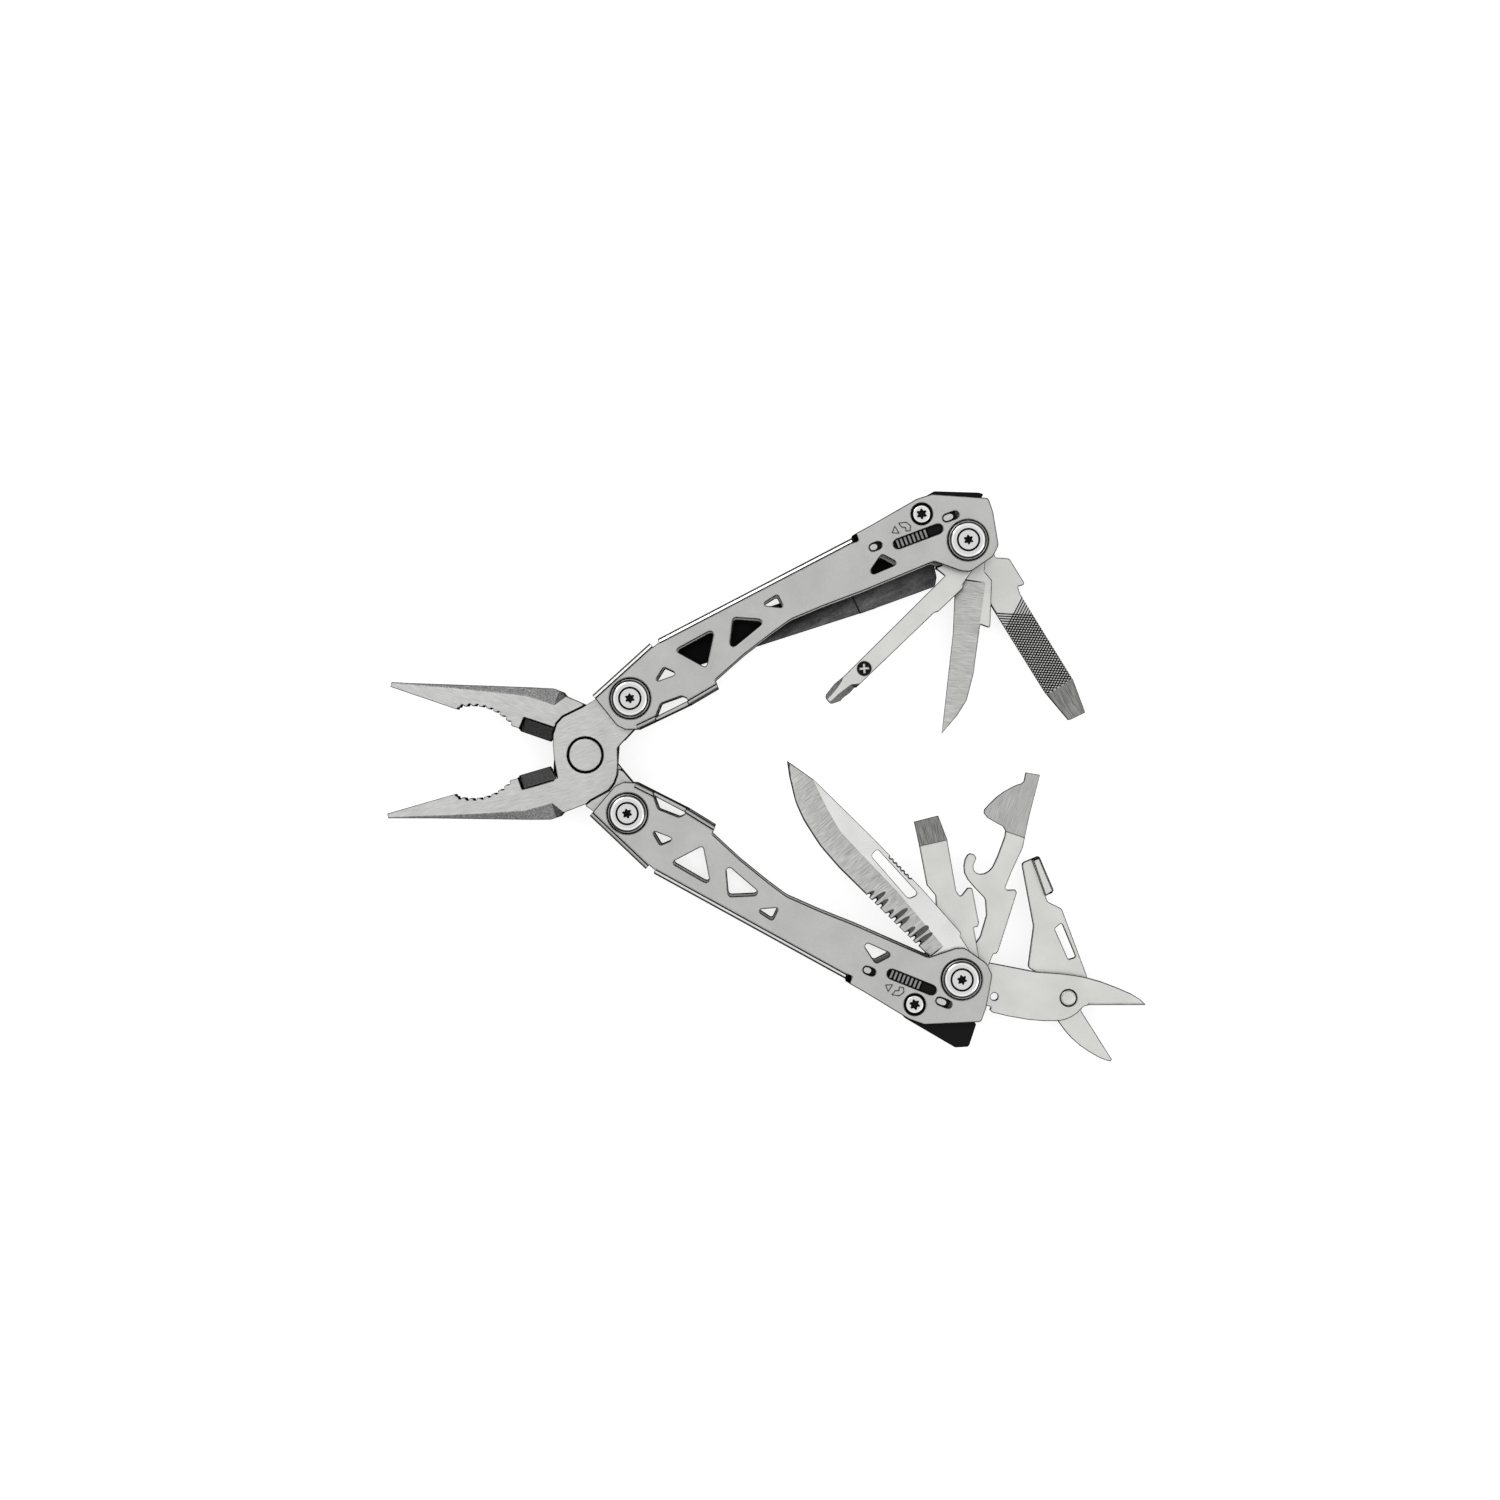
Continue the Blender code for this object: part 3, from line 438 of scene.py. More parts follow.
def applied(obj):
    """Replace the object's mesh by its evaluated one, cleaned of slivers, and drop the modifiers."""
    graph = bpy.context.evaluated_depsgraph_get()
    mesh = bpy.data.meshes.new_from_object(obj.evaluated_get(graph))
    bm = bmesh.new()
    bm.from_mesh(mesh)
    bmesh.ops.remove_doubles(bm, verts=bm.verts, dist=CLEAN * MM)
    bmesh.ops.dissolve_degenerate(bm, edges=bm.edges, dist=CLEAN * MM)
    loose = [edge for edge in bm.edges if not edge.link_faces]
    bmesh.ops.delete(bm, geom=loose, context='EDGES')
    bm.to_mesh(mesh)
    bm.free()
    obj.modifiers.clear()
    obj.data = mesh


def carve(obj, shapes, mat, operation='DIFFERENCE', overlapping=False):
    """Cut lofted shapes, each a list of sections, out of obj. The new faces take mat."""
    bm = bmesh.new()
    for sections in shapes:
        loft(bm, sections)
    cutter = new_object("cutter", bm, Place(Vector(), 0), [mat])
    cutter.matrix_world = obj.matrix_world
    modifier = obj.modifiers.new("cut", 'BOOLEAN')
    modifier.operation = operation
    modifier.solver = 'EXACT'
    modifier.material_mode = 'TRANSFER'
    modifier.use_self = overlapping
    modifier.object = cutter
    applied(obj)
    bpy.data.objects.remove(cutter)


def flat(points, low, high):
    """Sections of a straight prism."""
    return [[(x, y, low) for x, y in points], [(x, y, high) for x, y in points]]


def paint(obj, mat, test):
    """Give mat to the faces whose centre (mm) and normal pass the test."""
    index = obj.data.materials.find(mat.name)
    if index < 0:
        obj.data.materials.append(mat)
        index = len(obj.data.materials) - 1
    for face in obj.data.polygons:
        if test(face.center / MM, face.normal):
            face.material_index = index


def settle(obj, node, width=0.0, smooth=12.0):
    """Put the piece on its CAD node's body in the node's stead.

    Edges sharper than 50 degrees are rounded by width, and those below smooth degrees are shaded smooth.
    """
    obj.data.transform(obj.matrix_world)
    obj.matrix_world = Matrix()
    if width:
        bevel = obj.modifiers.new("rounded_edges", 'BEVEL')
        bevel.width = width * MM
        bevel.segments = 2
        bevel.limit_method = 'ANGLE'
        bevel.angle_limit = radians(50)
        bevel.harden_normals = True
    obj.data.shade_smooth()
    obj.data.set_sharp_from_angle(angle=radians(smooth))
    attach(obj, frame["nodes"][node]["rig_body"])
    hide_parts(node)


# ---- screws -----------------------------------------------------------------------------
HEAD_UNDER = 7.25                 # from the tool's middle plane, as all heights here
HEAD_TOP = 8.8
GROOVE_FLOOR = 8.40
GROOVE = (2.50, 2.86)             # inner and outer radius of the groove's floor
GROOVE_LEAN = 0.06                # how much wider the groove is at its top, on each side
SPLIT = 2.9                       # height where the screw's shank widens, in front of the barrel
SOCKET_DEPTH = 1.1
SCREW_SMOOTH = 35.0               # degrees: a turned piece's facets are shaded smooth
PROUD = 1.0                       # how far a shallow cutter stands over the face it cuts


def domed_head():
    """Profile of a domed pivot head from its under side to its centre."""
    shoulder = arc((3.55, 7.48), 1.32, 0, 84, 9)
    inner, outer = GROOVE
    groove = [(outer + GROOVE_LEAN, HEAD_TOP), (outer, GROOVE_FLOOR), (inner, GROOVE_FLOOR),
              (inner - GROOVE_LEAN, HEAD_TOP)]
    return [(4.87, HEAD_UNDER)] + shoulder + groove + [(0, HEAD_TOP)]


def pivot_piece(node, profile, x, place):
    """A polished piece turned from its profile, on a pivot at x along the handle."""
    bm = bmesh.new()
    turned(bm, profile, (x, 0))
    return new_object(node + "_fine", bm, place, [POLISHED])


def pivot_screw(prefix, name, x, place):
    """The domed front screw with its star socket, and the barrel with the back head."""
    def in_groove(c, n):
        return abs(c.z) > GROOVE_FLOOR - 0.05 and GROOVE[0] - 0.04 < hypot(c.x - x, c.y) < GROOVE[1] + 0.04

    node = f"{prefix}_{name}_screw"
    shank = [(0, -4.0), (1.45, -4.0), (1.45, SPLIT), (2.4, SPLIT), (2.4, HEAD_UNDER)]
    screw = pivot_piece(node, shank + domed_head(), x, place)
    # The socket and the groove round the dome are near-black: painted shade in the recesses.
    carve(screw, [flat(star((x, 0), 1.25, 12), HEAD_TOP - SOCKET_DEPTH, HEAD_TOP + PROUD)], DARK_ENGRAVING_AND_PAINTED_SHADE)
    paint(screw, DARK_ENGRAVING_AND_PAINTED_SHADE, in_groove)
    settle(screw, node, width=0.05, smooth=SCREW_SMOOTH)
    node = f"{prefix}_{name}_barrel"
    tube = [(0, -4.5), (1.6, -4.5), (1.6, SPLIT - 0.15), (2.4, SPLIT - 0.15), (2.4, -HEAD_UNDER)]
    barrel = pivot_piece(node, tube + [(r, -z) for r, z in domed_head()], x, place)
    # The back head's groove is near-black too: painted shade.
    paint(barrel, DARK_ENGRAVING_AND_PAINTED_SHADE, in_groove)
    settle(barrel, node, width=0.05, smooth=SCREW_SMOOTH)


def lock_screw(prefix, place):
    """Flush screw of the lock bar, with a star socket."""
    node = prefix + "_lock_screw"
    centre = (LOCK_PIVOT[0], LOCK_PIVOT[1] * place.side)
    shank = [(0, -7.1), (1.4, -7.1), (1.4, 6.2), (2.3, 6.2)]
    head = [(2.3, 6.95), (2.15, 7.15), (1.95, 7.22), (0, 7.25)]
    bm = bmesh.new()
    turned(bm, shank + head, centre, 48)
    screw = new_object(node + "_fine", bm, place, [POLISHED])
    # The socket is near-black: painted shade.
    carve(screw, [flat(star(centre, 1.35, 10), 6.3, 8.0)], DARK_ENGRAVING_AND_PAINTED_SHADE)
    settle(screw, node, width=0.04, smooth=SCREW_SMOOTH)


# ---- handles ----------------------------------------------------------------------------
LOCK_PIVOT = (85.6, 10.85)
PLATE_OUT = span_z("upper_frame")[1]
PLATE_OVER = PLATE_OUT + PROUD
# Dark rings cut round the pivot and lock screw heads: painted shadow.
PIVOT_RING, PIVOT_RING_DEPTH = 5.2, 0.25
LOCK_RING, LOCK_RING_DEPTH = 2.7, 1.1
RELIEF = ((67.7, 11.6), (68.0, 15.0))   # the notch where the long lip ends, painted near-black as shade
RELIEF_WIDTH, RELIEF_DEPTH = 1.5, 1.2
ICON_LINE, ICON_DEPTH = 0.22, 0.08
ICON_TRIANGLE = [(76.9, 9.7), (78.2, 10.9), (78.4, 8.9)]
ICON_TOOL = [(79.4, 11.2), (81.2, 10.6), (81.8, 9.3), (81.2, 8.3), (80.2, 8.6), (80.5, 9.5), (79.7, 9.9)]
FOLDS = (((-8.2, 4.8), (10.3, 10.5)), ((12.6, 10.6), (67.2, 12.9)), ((13.0, -7.8), (-1.4, -7.9)),
         ((21.1, -7.05), (13.0, -7.8)))
LONG_FOLD = 1                     # the one whose lip is painted bright, a painted highlight along the long bend
LIP = ((-1.0, 1.0), (-1.0, 0.0), (-0.5, -0.17), (-0.2, -0.36), (0.0, -1.1), (0.5, -1.1), (0.5, 1.0))
# A shallow groove along each fold, painted near-black: painted shade in the crease.
CREASE = ((-1.3, 1.0), (-1.3, 0.0), (-1.15, -0.25), (-1.0, 0.0), (-1.0, 1.0))


def icon_lines():
    """The lines of a small triangle and a pocket-tool outline beside the lock slider."""
    lines = []
    for shape in (ICON_TRIANGLE, ICON_TOOL):
        for start, end in zip(shape, shape[1:] + shape[:1]):
            lines.append(stroke(start, end, ICON_LINE))
    return lines


def fold_cutters(side, section, folds):
    """Cutters with a section of (outwards, up) points along the folded edges, on both faces."""
    shapes = []
    for start, end in folds:
        length = hypot(end[0] - start[0], end[1] - start[1])
        out = (-(end[1] - start[1]) / length, (end[0] - start[0]) / length)
        for sign in (1, -1):
            sections = []
            for x, y in (start, end):
                sections.append([(x + out[0] * across, (y + out[1] * across) * side, (PLATE_OUT + up) * sign)
                                 for across, up in section])
            shapes.append(sections)
    return shapes


def handle_frame(prefix):
    """The folded frame with its dark rings, relief notches, icons and rounded lips. The rings, notches and
    creases are painted dark as shade.
    """
    place = HANDLES[prefix]
    side = place.side
    node = prefix + "_frame"
    shell = copy_of(node, place, PLATE)
    # The frame's walls take the near-black wall steel: painted shade.
    shell.data.materials[2] = PAINTED_SHADE_HOLE_WALL
    # Rings round the screws in near-black: painted shadow.
    rings = []
    for x in (0.0, PIVOT_TO_TOOLS):
        rings.append(flat(arc((x, 0), PIVOT_RING, 0, 352.5, 47), PLATE_OUT - PIVOT_RING_DEPTH, PLATE_OVER))
    ring = flipped(arc(LOCK_PIVOT, LOCK_RING, 0, 350, 35), side)
    rings.append(flat(ring, PLATE_OUT - LOCK_RING_DEPTH, PLATE_OVER))
    carve(shell, rings, DARK_ENGRAVING_AND_PAINTED_SHADE)
    # The notch at the long lip's end in near-black: painted shade.
    relief = flipped(stroke(*RELIEF, RELIEF_WIDTH), side)
    front = flat(relief, PLATE_OUT - RELIEF_DEPTH, PLATE_OVER)
    back = flat(relief, -PLATE_OVER, RELIEF_DEPTH - PLATE_OUT)
    carve(shell, [front, back], DARK_ENGRAVING_AND_PAINTED_SHADE)
    lines = [flat(flipped(line, side), PLATE_OUT - ICON_DEPTH, PLATE_OVER) for line in icon_lines()]
    carve(shell, lines, DARK_ENGRAVING_AND_PAINTED_SHADE, overlapping=True)
    short_folds = FOLDS[:LONG_FOLD] + FOLDS[LONG_FOLD + 1:]
    # The long lip is painted bright as a highlight, the short lips darker as shade.
    carve(shell, fold_cutters(side, LIP, [FOLDS[LONG_FOLD]]), EDGE, overlapping=True)
    carve(shell, fold_cutters(side, LIP, short_folds), FOLDED, overlapping=True)
    # The creases in near-black: painted shade.
    carve(shell, fold_cutters(side, CREASE, FOLDS), DARK_ENGRAVING_AND_PAINTED_SHADE, overlapping=True)
    settle(shell, node)


# ---- grinds and teeth -------------------------------------------------------------------
ABOVE = 2.5                       # how far a deep cutter stands over the face it cuts


def mirrored(shapes, middle):
    """The shapes, and again turned over the tool's own middle plane."""
    doubled = list(shapes)
    for sections in shapes:
        doubled.append([[(x, y, 2 * middle - z) for x, y, z in section] for section in sections])
    return doubled


def slope(xs, inner, outer, top, drop, side=1):
    """Cutter over a sloping facet. At each x it falls from inner(x) to outer(x), from top(x) by drop(x)."""
    sections = []
    for x in xs:
        start, end = inner(x), outer(x)
        sections.append([(x, start * side, top(x)), (x, end * side, top(x) - drop(x)),
                         (x, end * side, top(x) + ABOVE), (x, start * side, top(x) + ABOVE)])
    return sections


def along(points):
    """A function of x from a polyline of (x, y) points in rising x."""
    return lambda x: spot(points, x)


def level(value):
    """A function of x that stays the same."""
    return lambda x: value


def round_notch(centre, radius, low, high, flare=0.0, tall=1.0):
    """Notch right through a plate, stretched by tall in y, and wider at both faces by flare."""
    middle = (low + high) / 2
    sections = []
    for z, r in ((low - 0.5, radius + flare), (middle, radius), (high + 0.5, radius + flare)):
        ring = arc(centre, r, 0, 345, 23)
        sections.append([(x, centre[1] + tall * (y - centre[1]), z) for x, y in ring])
    return sections


def v_groove(start, end, half_width, top, depth):
    """Straight V groove in a top face."""
    over = 0.3
    corners = stroke(start, end, 2 * half_width * (1 + over / depth))
    sections = []
    for left, right, at in ((corners[0], corners[3], start), (corners[1], corners[2], end)):
        sections.append([(*left, top + over), (*at, top - depth), (*right, top + over)])
    return sections


# ---- folding tools ----------------------------------------------------------------------
def blank(node, joint, handle, mat=SATIN):
    """A folding tool's copy with its place, its middle z and its highest z."""
    place = handle.tool(joint)
    low, high = span_z(node)
    return copy_of(node, place, mat), place, (low + high) / 2, high


def thin_tip(obj, place, steps, span, middle, high):
    """Grind a driver's end down on both faces by steps, (x, depth) points, over span in y."""
    depth = along(steps)
    cut = slope([x for x, _ in steps], level(span[0]), level(span[1]), lambda x: high - depth(x), level(0.0))
    carve(obj, mirrored([cut], middle), dark_tip(place))


BLADE_EDGE = [(9.6, 2.8), (31.7, 5.5), (41.0, 6.6), (48.1, 6.9), (55.8, 6.1), (60.7, 4.8), (66.6, 2.0),
              (70.0, 0.0)]
BLADE_GRIND = [(9.2, -1.6), (26.8, -1.2), (41.1, 0.1), (47.9, 0.6), (54.0, -0.3), (58.6, -1.3), (62.5, -2.2),
               (66.5, -1.3), (70.0, -0.3)]
BLADE_SPINE = [(8.6, -7.2), (24.1, -6.4), (41.1, -4.8), (62.0, -2.3)]
GRIND_XS = [9.2, 15.0, 20.0, 26.8, 31.7, 36.0, 41.1, 44.5, 47.9, 51.0, 54.0, 56.5, 58.6, 60.6, 62.5, 64.5,
            66.5, 68.5, 70.5]
HONED_FROM = 31.7                 # serrated before this x, honed after it
SCALLOP = 0.95                    # half the pitch of the serrations in a group


def main_blade():
    obj, place, middle, high = blank("main_blade", "main_blade_fold", LOWER, BRIGHT)
    low = span_z("main_blade")[0]
    edge, grind, spine = along(BLADE_EDGE), along(BLADE_GRIND), along(BLADE_SPINE)
    over = 0.8                    # how far the cutters reach past the cutting edge
    rim = middle + 0.08           # z of the grind at the cutting edge
    crest = along([(9.0, high), (62.5, high), (70.5, middle + 0.45)])

    def fall(x):
        return (crest(x) - rim) / max(edge(x) - grind(x), 1.2)

    def beyond(x):
        return over if x > 62.6 else 0.0

    hollow = slope(GRIND_XS, lambda x: grind(x) - beyond(x), lambda x: edge(x) + over,
                   lambda x: crest(x) + fall(x) * beyond(x),
                   lambda x: fall(x) * (edge(x) + over - grind(x) + beyond(x)))
    carve(obj, mirrored([hollow], middle), crosswise(place), overlapping=True)
    honed_xs = [x for x in GRIND_XS if x >= HONED_FROM]
    hone = slope(honed_xs, lambda x: edge(x) - 0.6, lambda x: edge(x) + over, level(middle + 0.17),
                 level(0.36))
    carve(obj, mirrored([hone], middle), honed(place), overlapping=True)
    scallops = []
    x = HONED_FROM
    for _ in range(3):
        for tall in (2.6, 3.3, 3.0):
            x -= SCALLOP
            scallops.append(round_notch((x, edge(x) + 0.3), 0.42, low, high, 2.1, tall))
            x -= SCALLOP
        x -= 1.0
    # The serrations are cut in near-black steel: painted shade.
    for notch in scallops:
        carve(obj, [notch], CUT_PAINTED_SHADE)
    grip = []
    for i in range(6):
        x = 28.0 + 1.35 * i
        grip.append(round_notch((x, spine(x)), 0.35, low, high, 0.45))
    # The grip notches are near-black: painted shade.
    carve(obj, grip, DARK_ENGRAVING_AND_PAINTED_SHADE)
    settle(obj, "main_blade")


FILE_START, FILE_END = 19.0, 43.6     # the file's teeth, in x and in y
FILE_BOTTOM, FILE_TOP = -2.4, 5.3
FILE_LEANS = (55.0, -59.0)            # degrees; the two cuts cross
FILE_PITCH = 0.76
FILE_GROOVE = 0.145                   # half width
FILE_DEPTH = 0.17


def file_blade():
    obj, place, middle, high = blank("file", "file_fold", UPPER)
    thin_tip(obj, place, [(43.7, 0.0), (53.5, 0.5)], (-6.0, 9.0), middle, high)
    for lean in FILE_LEANS:
        run = (FILE_TOP - FILE_BOTTOM) / tan(radians(abs(lean)))
        foot, head = (FILE_BOTTOM, FILE_TOP) if lean > 0 else (FILE_TOP, FILE_BOTTOM)
        cuts = []
        for i in range(int((FILE_END - FILE_START + run) / FILE_PITCH)):
            x0 = FILE_START + FILE_PITCH * (i + 0.5)
            reach = min(1.0, (FILE_END - x0) / run)
            if reach <= 0.05:
                continue
            begin = (x0 - 0.08 * run, foot + 0.08 * (foot - head))
            end = (x0 + reach * run, foot + reach * (head - foot))
            cuts.append(v_groove(begin, end, FILE_GROOVE, high, FILE_DEPTH))
        # The grooves are cut in near-black steel: painted shade.
        carve(obj, mirrored(cuts, middle), CUT_PAINTED_SHADE)
    paint(obj, TEETH, lambda c, n: abs(n.z) > FACE_UP and FILE_START + 0.8 < c.x < FILE_END)
    settle(obj, "file")


def awl():
    obj, place, middle, high = blank("awl_blade", "awl_fold", UPPER)
    back = along([(8.0, 6.4), (39.5, 6.3), (43.7, 4.4), (48.7, 1.1), (50.0, 0.9)])
    edge = along([(8.0, -0.6), (13.6, -0.9), (23.2, 0.0), (48.7, 0.6), (50.0, 0.6)])
    half = high - middle
    xs = [9.4, 13.6, 23.2, 32.6, 39.5, 43.7, 48.7, 50.0]
    ground = slope(xs, back, lambda x: edge(x) - 0.5, level(high), level(half - 0.12))
    carve(obj, mirrored([ground], middle), crosswise(place, 0.34, 0.3), overlapping=True)
    settle(obj, "awl_blade")


def flat_driver():
    obj, place, middle, high = blank("flat_driver", "flat_driver_fold", LOWER)
    thin_tip(obj, place, [(34.6, 0.12), (41.8, 0.4)], (-6.0, 6.0), middle, high)
    settle(obj, "flat_driver")


def can_opener():
    obj, place, middle, high = blank("can_opener", "can_opener_fold", LOWER)
    relieved = flat([(38.6, -6.0), (56.0, -6.0), (56.0, 9.5), (38.6, 9.5)], high - 0.15, high + ABOVE)
    carve(obj, mirrored([relieved], middle), lengthwise(place))
    settle(obj, "can_opener")


CROSS_ICON = (41.1, 1.3)
LEFT_FLANK = [(44.6, 3.1), (46.0, 1.5), (48.0, 0.8), (54.0, 0.1)]
RIGHT_FLANK = [(45.6, -1.5), (47.0, -0.9), (49.0, -0.6), (54.0, -0.7)]


def cross_driver():
    obj, _, middle, high = blank("cross_driver", "cross_driver_fold", UPPER)
    left = slope([44.6, 46.3, 50.0, 54.0], along(LEFT_FLANK), level(4.5), level(high), level(2.2))
    right = slope([45.6, 47.3, 50.0, 54.0], along(RIGHT_FLANK), level(-4.0), level(high), level(2.2))
    # The flanks on both sides of the tip's ridge are dark: painted shade.
    for flank in mirrored([left, right], middle):
        carve(obj, [flank], FLANK_PAINTED_SHADE)
    carve(obj, [flat(arc(CROSS_ICON, 1.85, 0, 352.5, 47), high - 0.1, high + ABOVE)], DARK_ENGRAVING_AND_PAINTED_SHADE)
    carve(obj, [flat(cross_outline(CROSS_ICON, 1.2, 0.28, 45), high - 0.3, high)], SATIN, 'UNION')
    settle(obj, "cross_driver")


def cross_outline(centre, arm, half, turn):
    """Plus sign turned about its centre. Its arms reach out by arm and are twice half wide."""
    x, y = centre
    points = []
    for quarter in range(4):
        for px, py in ((half, half), (half, arm), (-half, arm)):
            a = radians(90 * quarter + turn)
            points.append((x + px * cos(a) - py * sin(a), y + px * sin(a) + py * cos(a)))
    return points


def scissors():
    arm = copy_of("scissors_arm", SCISSORS, SATIN)
    high = span_z("scissors_arm")[1]
    inner, outer = along([(33.2, -1.5), (40.0, -0.5), (48.5, 0.8)]), along([(33.2, -2.9), (48.5, -0.5)])
    honing = slope([33.2, 40.0, 48.5], inner, outer, level(high), level(0.5))
    carve(arm, [honing], lengthwise(SCISSORS))
    settle(arm, "scissors_arm")
    settle(copy_of("scissors_rivet", SCISSORS, SATIN, 0.4), "scissors_rivet", smooth=SCREW_SMOOTH)
    lever = copy_of("scissors_lever", LEVER, SATIN)
    base = span_z("scissors_lever")[0] + 0.5
    carve(lever, [half_tube((-8.6, 25.2), (-13.5, 33.6), 1.15, base, 1.9)], SATIN, 'UNION')
    settle(lever, "scissors_lever")


def half_tube(start, end, radius, base, height):
    """Rolled lip: a rounded bar from start to end."""
    start, end = Vector((*start, 0)), Vector((*end, 0))
    across = Vector((start.y - end.y, end.x - start.x, 0)).normalized()
    steps = 12
    sections = []
    for point in (start, end):
        ring = []
        for i in range(steps + 1):
            a = radians(180 * i / steps)
            off = across * (radius * cos(a))
            ring.append((point.x + off.x, point.y + off.y, base + height * sin(a)))
        sections.append(ring)
    return sections


# ---- pliers -----------------------------------------------------------------------------
BOSS_FACE = 4.3                   # height of the boss's faces over the middle plane
JAW_TOP = [(-20.0, BOSS_FACE), (15.0, BOSS_FACE), (41.0, 2.3), (54.5, 1.52)]
FACET = [(8.9, 12.8), (11.4, 9.3), (18.4, 9.2), (27.1, 7.3), (36.9, 5.0), (52.3, 1.1), (54.5, 0.55)]
JAW_BACK = [(8.9, 15.0), (17.9, 12.6), (37.3, 6.6), (54.5, 1.6)]
FACET_XS = [8.9, 11.4, 15.0, 18.4, 22.0, 27.1, 31.0, 36.9, 41.0, 47.0, 54.5]
THROUGH = 4.4                     # half height of a cutter that goes right through a jaw
PIPE_GRIP = (26.95, -10.05)       # centre of the curved grip, and its radius
PIPE_RADIUS = 13.05
COARSE_TEETH, COARSE_FROM, COARSE_STEP = 8, 61.0, 8.3     # degrees round that centre
FINE_TEETH, FINE_FROM, FINE_STEP = 34, 34.6, 0.52         # along the flat grip


def plier_half(node, place):
    side = place.side
    obj = copy_of(node, place, plier_brushed(place))
    # Faces round the pivot below the boss faces are near-black: painted shade between the halves.
    paint(obj, DARK_ENGRAVING_AND_PAINTED_SHADE, lambda c, n: hypot(c.x, c.y) < 4.7 and abs(c.z) < BOSS_FACE - 0.02)
    top, facet, back = along(JAW_TOP), along(FACET), along(JAW_BACK)
    casting = slope(FACET_XS, facet, back, top, lambda x: 0.62 * (back(x) - facet(x)), side)
    carve(obj, mirrored([casting], 0.0), CAST, overlapping=True)
    # The cutter's facet is near-black steel: painted shade.
    cutter = slope([8.7, 15.0, 17.4], level(3.8), level(-1.5), top, level(3.4), side)
    carve(obj, mirrored([cutter], 0.0), CUT_PAINTED_SHADE, overlapping=True)
    # A gap and a step scored in near-black: painted shade.
    gap = stroke((17.75, -0.8), (17.45, 3.9), 0.45)
    step = stroke((17.5, 3.9), (9.3, 3.9), 0.22)
    for line, depth in ((gap, 1.6), (step, 0.3)):
        score = flat(flipped(line, side), BOSS_FACE - depth, BOSS_FACE + ABOVE)
        carve(obj, mirrored([score], 0.0), DARK_ENGRAVING_AND_PAINTED_SHADE)
    # The tooth notches are near-black: painted shade between the teeth.
    coarse = []
    for i in range(COARSE_TEETH):
        a = radians(COARSE_FROM + COARSE_STEP * i)
        x, y = PIPE_GRIP[0] + PIPE_RADIUS * cos(a), PIPE_GRIP[1] + PIPE_RADIUS * sin(a)
        coarse.append(round_notch((x, y * side), 0.5, -THROUGH, THROUGH))
    carve(obj, coarse, DARK_ENGRAVING_AND_PAINTED_SHADE)
    fine = []
    for i in range(FINE_TEETH):
        x = FINE_FROM + FINE_STEP * i
        tooth = flipped([(x - 0.22, -0.3), (x + 0.22, -0.3), (x, 0.3)], side)
        fine.append(flat(tooth, -THROUGH, THROUGH))
    carve(obj, fine, DARK_ENGRAVING_AND_PAINTED_SHADE)
    settle(obj, node)


def jaw_rivet():
    back = [(0, -4.25), (4.2, -4.25), (4.2, -3.0), (3.2, -3.0)]
    front = [(3.2, 3.0), (4.1, 3.0), (4.1, 4.25), (0, 4.25)]
    bm = bmesh.new()
    turned(bm, back + front, (0, 0))
    rivet = new_object("jaw_rivet_fine", bm, FRONT_HALF, [plier_brushed(FRONT_HALF)])
    settle(rivet, "jaw_rivet", width=0.2, smooth=SCREW_SMOOTH)


# ---- camera, floor and light ------------------------------------------------------------
CAMERA_AT = (-4.315, 7.029, 686.0)    # mm; it looks straight down
CAMERA_ANGLE = 31.27
TABLE_GLOW = 0.80
SKY = 1.35
SKY_NADIR, SKY_ZENITH = 0.015, 0.55
SKY_RING = ((0.38, 0.02), (0.56, 0.28), (0.70, 0.74), (0.86, 0.76), (0.95, 0.58))   # height, grey
BACKDROP = 0.9


def grey_colour(value):
    return (value, value, value, 1)


def camera():
    data = bpy.data.cameras.new("camera")
    data.angle = radians(CAMERA_ANGLE)
    data.clip_start = 0.05
    data.clip_end = 20.0
    obj = bpy.data.objects.new("camera", data)
    bpy.context.scene.collection.objects.link(obj)
    obj.location = Vector(CAMERA_AT) * MM
    bpy.context.scene.camera = obj


def floor():
    """Pale, nearly shadowless table; it keeps out of the steel's reflections."""
    mat = bpy.data.materials.new("studio_floor")
    mat.use_nodes = True
    shader = mat.node_tree.nodes["Principled BSDF"]
    shader.inputs["Base Color"].default_value = grey_colour(0.5)
    shader.inputs["Roughness"].default_value = 0.9
    shader.inputs["Specular IOR Level"].default_value = 0.0
    shader.inputs["Emission Color"].default_value = grey_colour(1.0)
    shader.inputs["Emission Strength"].default_value = TABLE_GLOW
    bm = bmesh.new()
    bmesh.ops.create_grid(bm, x_segments=1, y_segments=1, size=3.0)
    plane = new_object("studio_floor", bm, Place(Vector((0, 0, -0.05)), 0), [mat])
    plane.visible_glossy = False


def area_light(name, location, size, power):
    """A white panel, in metres and watts, that faces the origin."""
    data = bpy.data.lights.new(name, 'AREA')
    data.shape = 'RECTANGLE'
    data.size, data.size_y = size
    data.energy = power
    obj = bpy.data.objects.new(name, data)
    bpy.context.scene.collection.objects.link(obj)
    obj.location = location
    obj.rotation_euler = (-Vector(location)).to_track_quat('-Z', 'Y').to_euler()


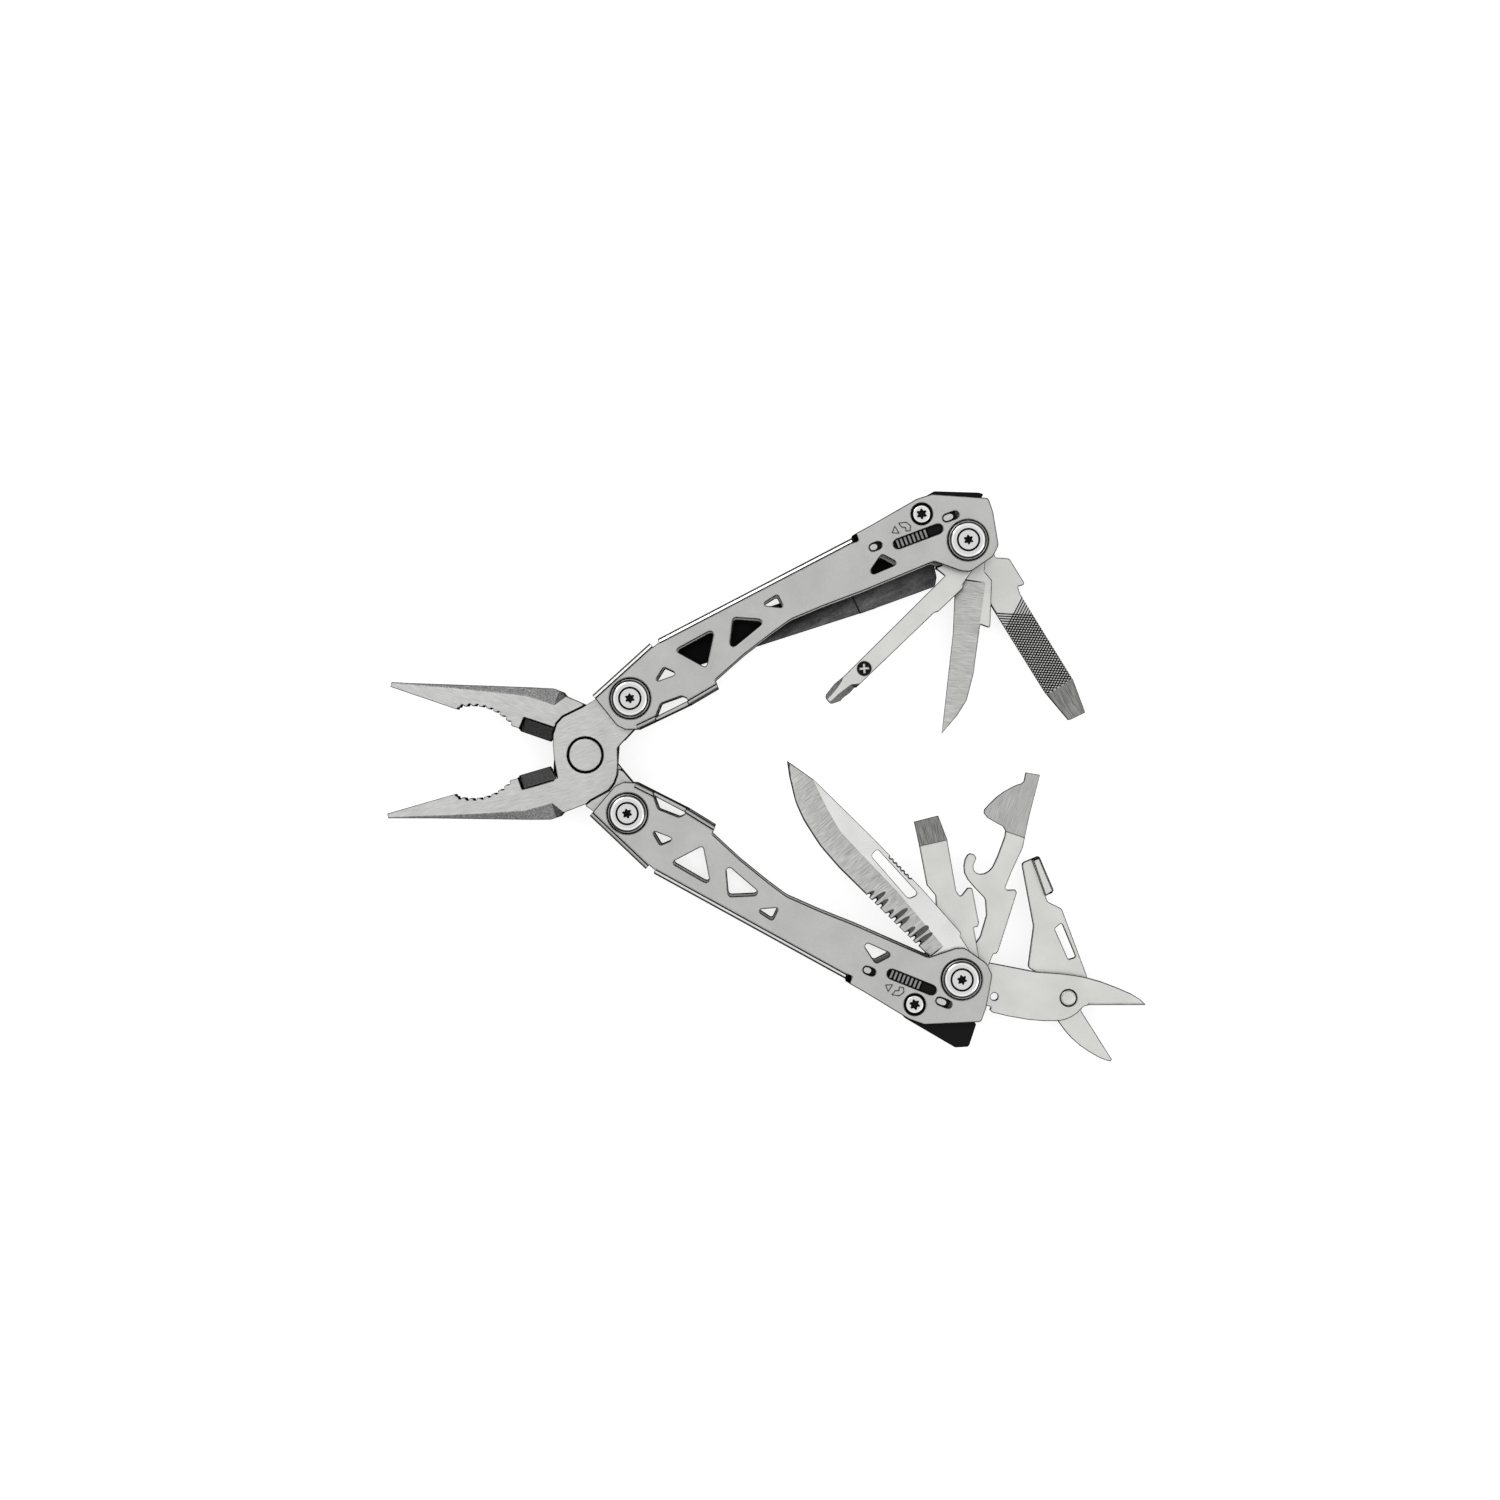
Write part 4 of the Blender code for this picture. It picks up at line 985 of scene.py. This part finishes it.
def world():
    """Soft overhead light with a brighter ring round it, and a dark horizon that draws the edges.

    The backdrop that the camera sees is pale.
    """
    scene_world = bpy.data.worlds.new("studio")
    bpy.context.scene.world = scene_world
    scene_world.use_nodes = True
    tree = scene_world.node_tree
    coords = tree.nodes.new("ShaderNodeTexCoord")
    split = tree.nodes.new("ShaderNodeSeparateXYZ")
    ramp = tree.nodes.new("ShaderNodeValToRGB")
    tree.links.new(coords.outputs["Generated"], split.inputs[0])
    tree.links.new(split.outputs["Z"], ramp.inputs[0])
    stops = ramp.color_ramp.elements
    stops[0].position = 0.0
    stops[0].color = grey_colour(SKY_NADIR)
    stops[1].position = 1.0
    stops[1].color = grey_colour(SKY_ZENITH)
    for position, value in SKY_RING:
        stops.new(position).color = grey_colour(value)
    seen = tree.nodes.new("ShaderNodeMix")
    seen.data_type = 'RGBA'
    tree.links.new(tree.nodes.new("ShaderNodeLightPath").outputs["Is Camera Ray"], seen.inputs[0])
    tree.links.new(ramp.outputs[0], seen.inputs[6])
    seen.inputs[7].default_value = grey_colour(BACKDROP)
    tree.links.new(seen.outputs[2], tree.nodes["Background"].inputs["Color"])
    tree.nodes["Background"].inputs["Strength"].default_value = SKY


def studio():
    bpy.context.scene.view_settings.view_transform = 'Standard'
    camera()
    floor()
    world()
    area_light("key", (-0.9, 1.1, 1.3), (0.9, 0.6), 5)
    area_light("fill", (1.2, -0.6, 1.2), (0.9, 0.9), 2)


# ---- everything -------------------------------------------------------------------------
COMB_TOP = 7.1                    # the comb's teeth stand over this height
COMB = (-18.0, -3.5)              # and between these x from the tools' pivot


def plain(node, mat):
    """Give a CAD node, whose shape stays, its material."""
    obj = frame["nodes"][node]
    obj.data.materials.clear()
    obj.data.materials.append(mat)


def lock_slider(prefix, place):
    """Black slider with bright ends and a grey comb."""
    def on_top(c, n):
        return c.z > COMB_TOP and n.z > FACE_UP

    slider = copy_of(prefix + "_lock_slider", place, BLACK, rims_and_walls=BLACK)
    paint(slider, EDGE, on_top)
    # The comb's tops take the darker wall steel: painted shade in the slot.
    paint(slider, PAINTED_SHADE_WALL, lambda c, n: on_top(c, n) and COMB[0] < c.x - PIVOT_TO_TOOLS < COMB[1])
    settle(slider, prefix + "_lock_slider")


def main():
    studio()
    for prefix, place in HANDLES.items():
        handle_frame(prefix)
        pivot_screw(prefix, "plier", 0.0, place)
        pivot_screw(prefix, "tool", PIVOT_TO_TOOLS, place)
        lock_screw(prefix, place)
        for end in ("front", "back"):
            plain(f"{prefix}_plier_washer_{end}", WASHER)
        plain(prefix + "_lock_spring", WASHER)
        settle(copy_of(prefix + "_lock_bar", place, BLACK, 0.3, BLACK), prefix + "_lock_bar")
        lock_slider(prefix, place)
    for node in frame["nodes"]:
        if "_tool_washer_" in node:
            plain(node, WASHER)
    clip = clip_with_painted_shade(UPPER)
    settle(copy_of("pocket_clip", UPPER, clip, 0.2, clip), "pocket_clip")
    for i in (1, 2):
        plain(f"pocket_clip_screw_{i}", POLISHED)
    plier_half("plier_front_half", FRONT_HALF)
    plier_half("plier_rear_half", REAR_HALF)
    jaw_rivet()
    cross_driver()
    awl()
    file_blade()
    main_blade()
    flat_driver()
    can_opener()
    scissors()


main()
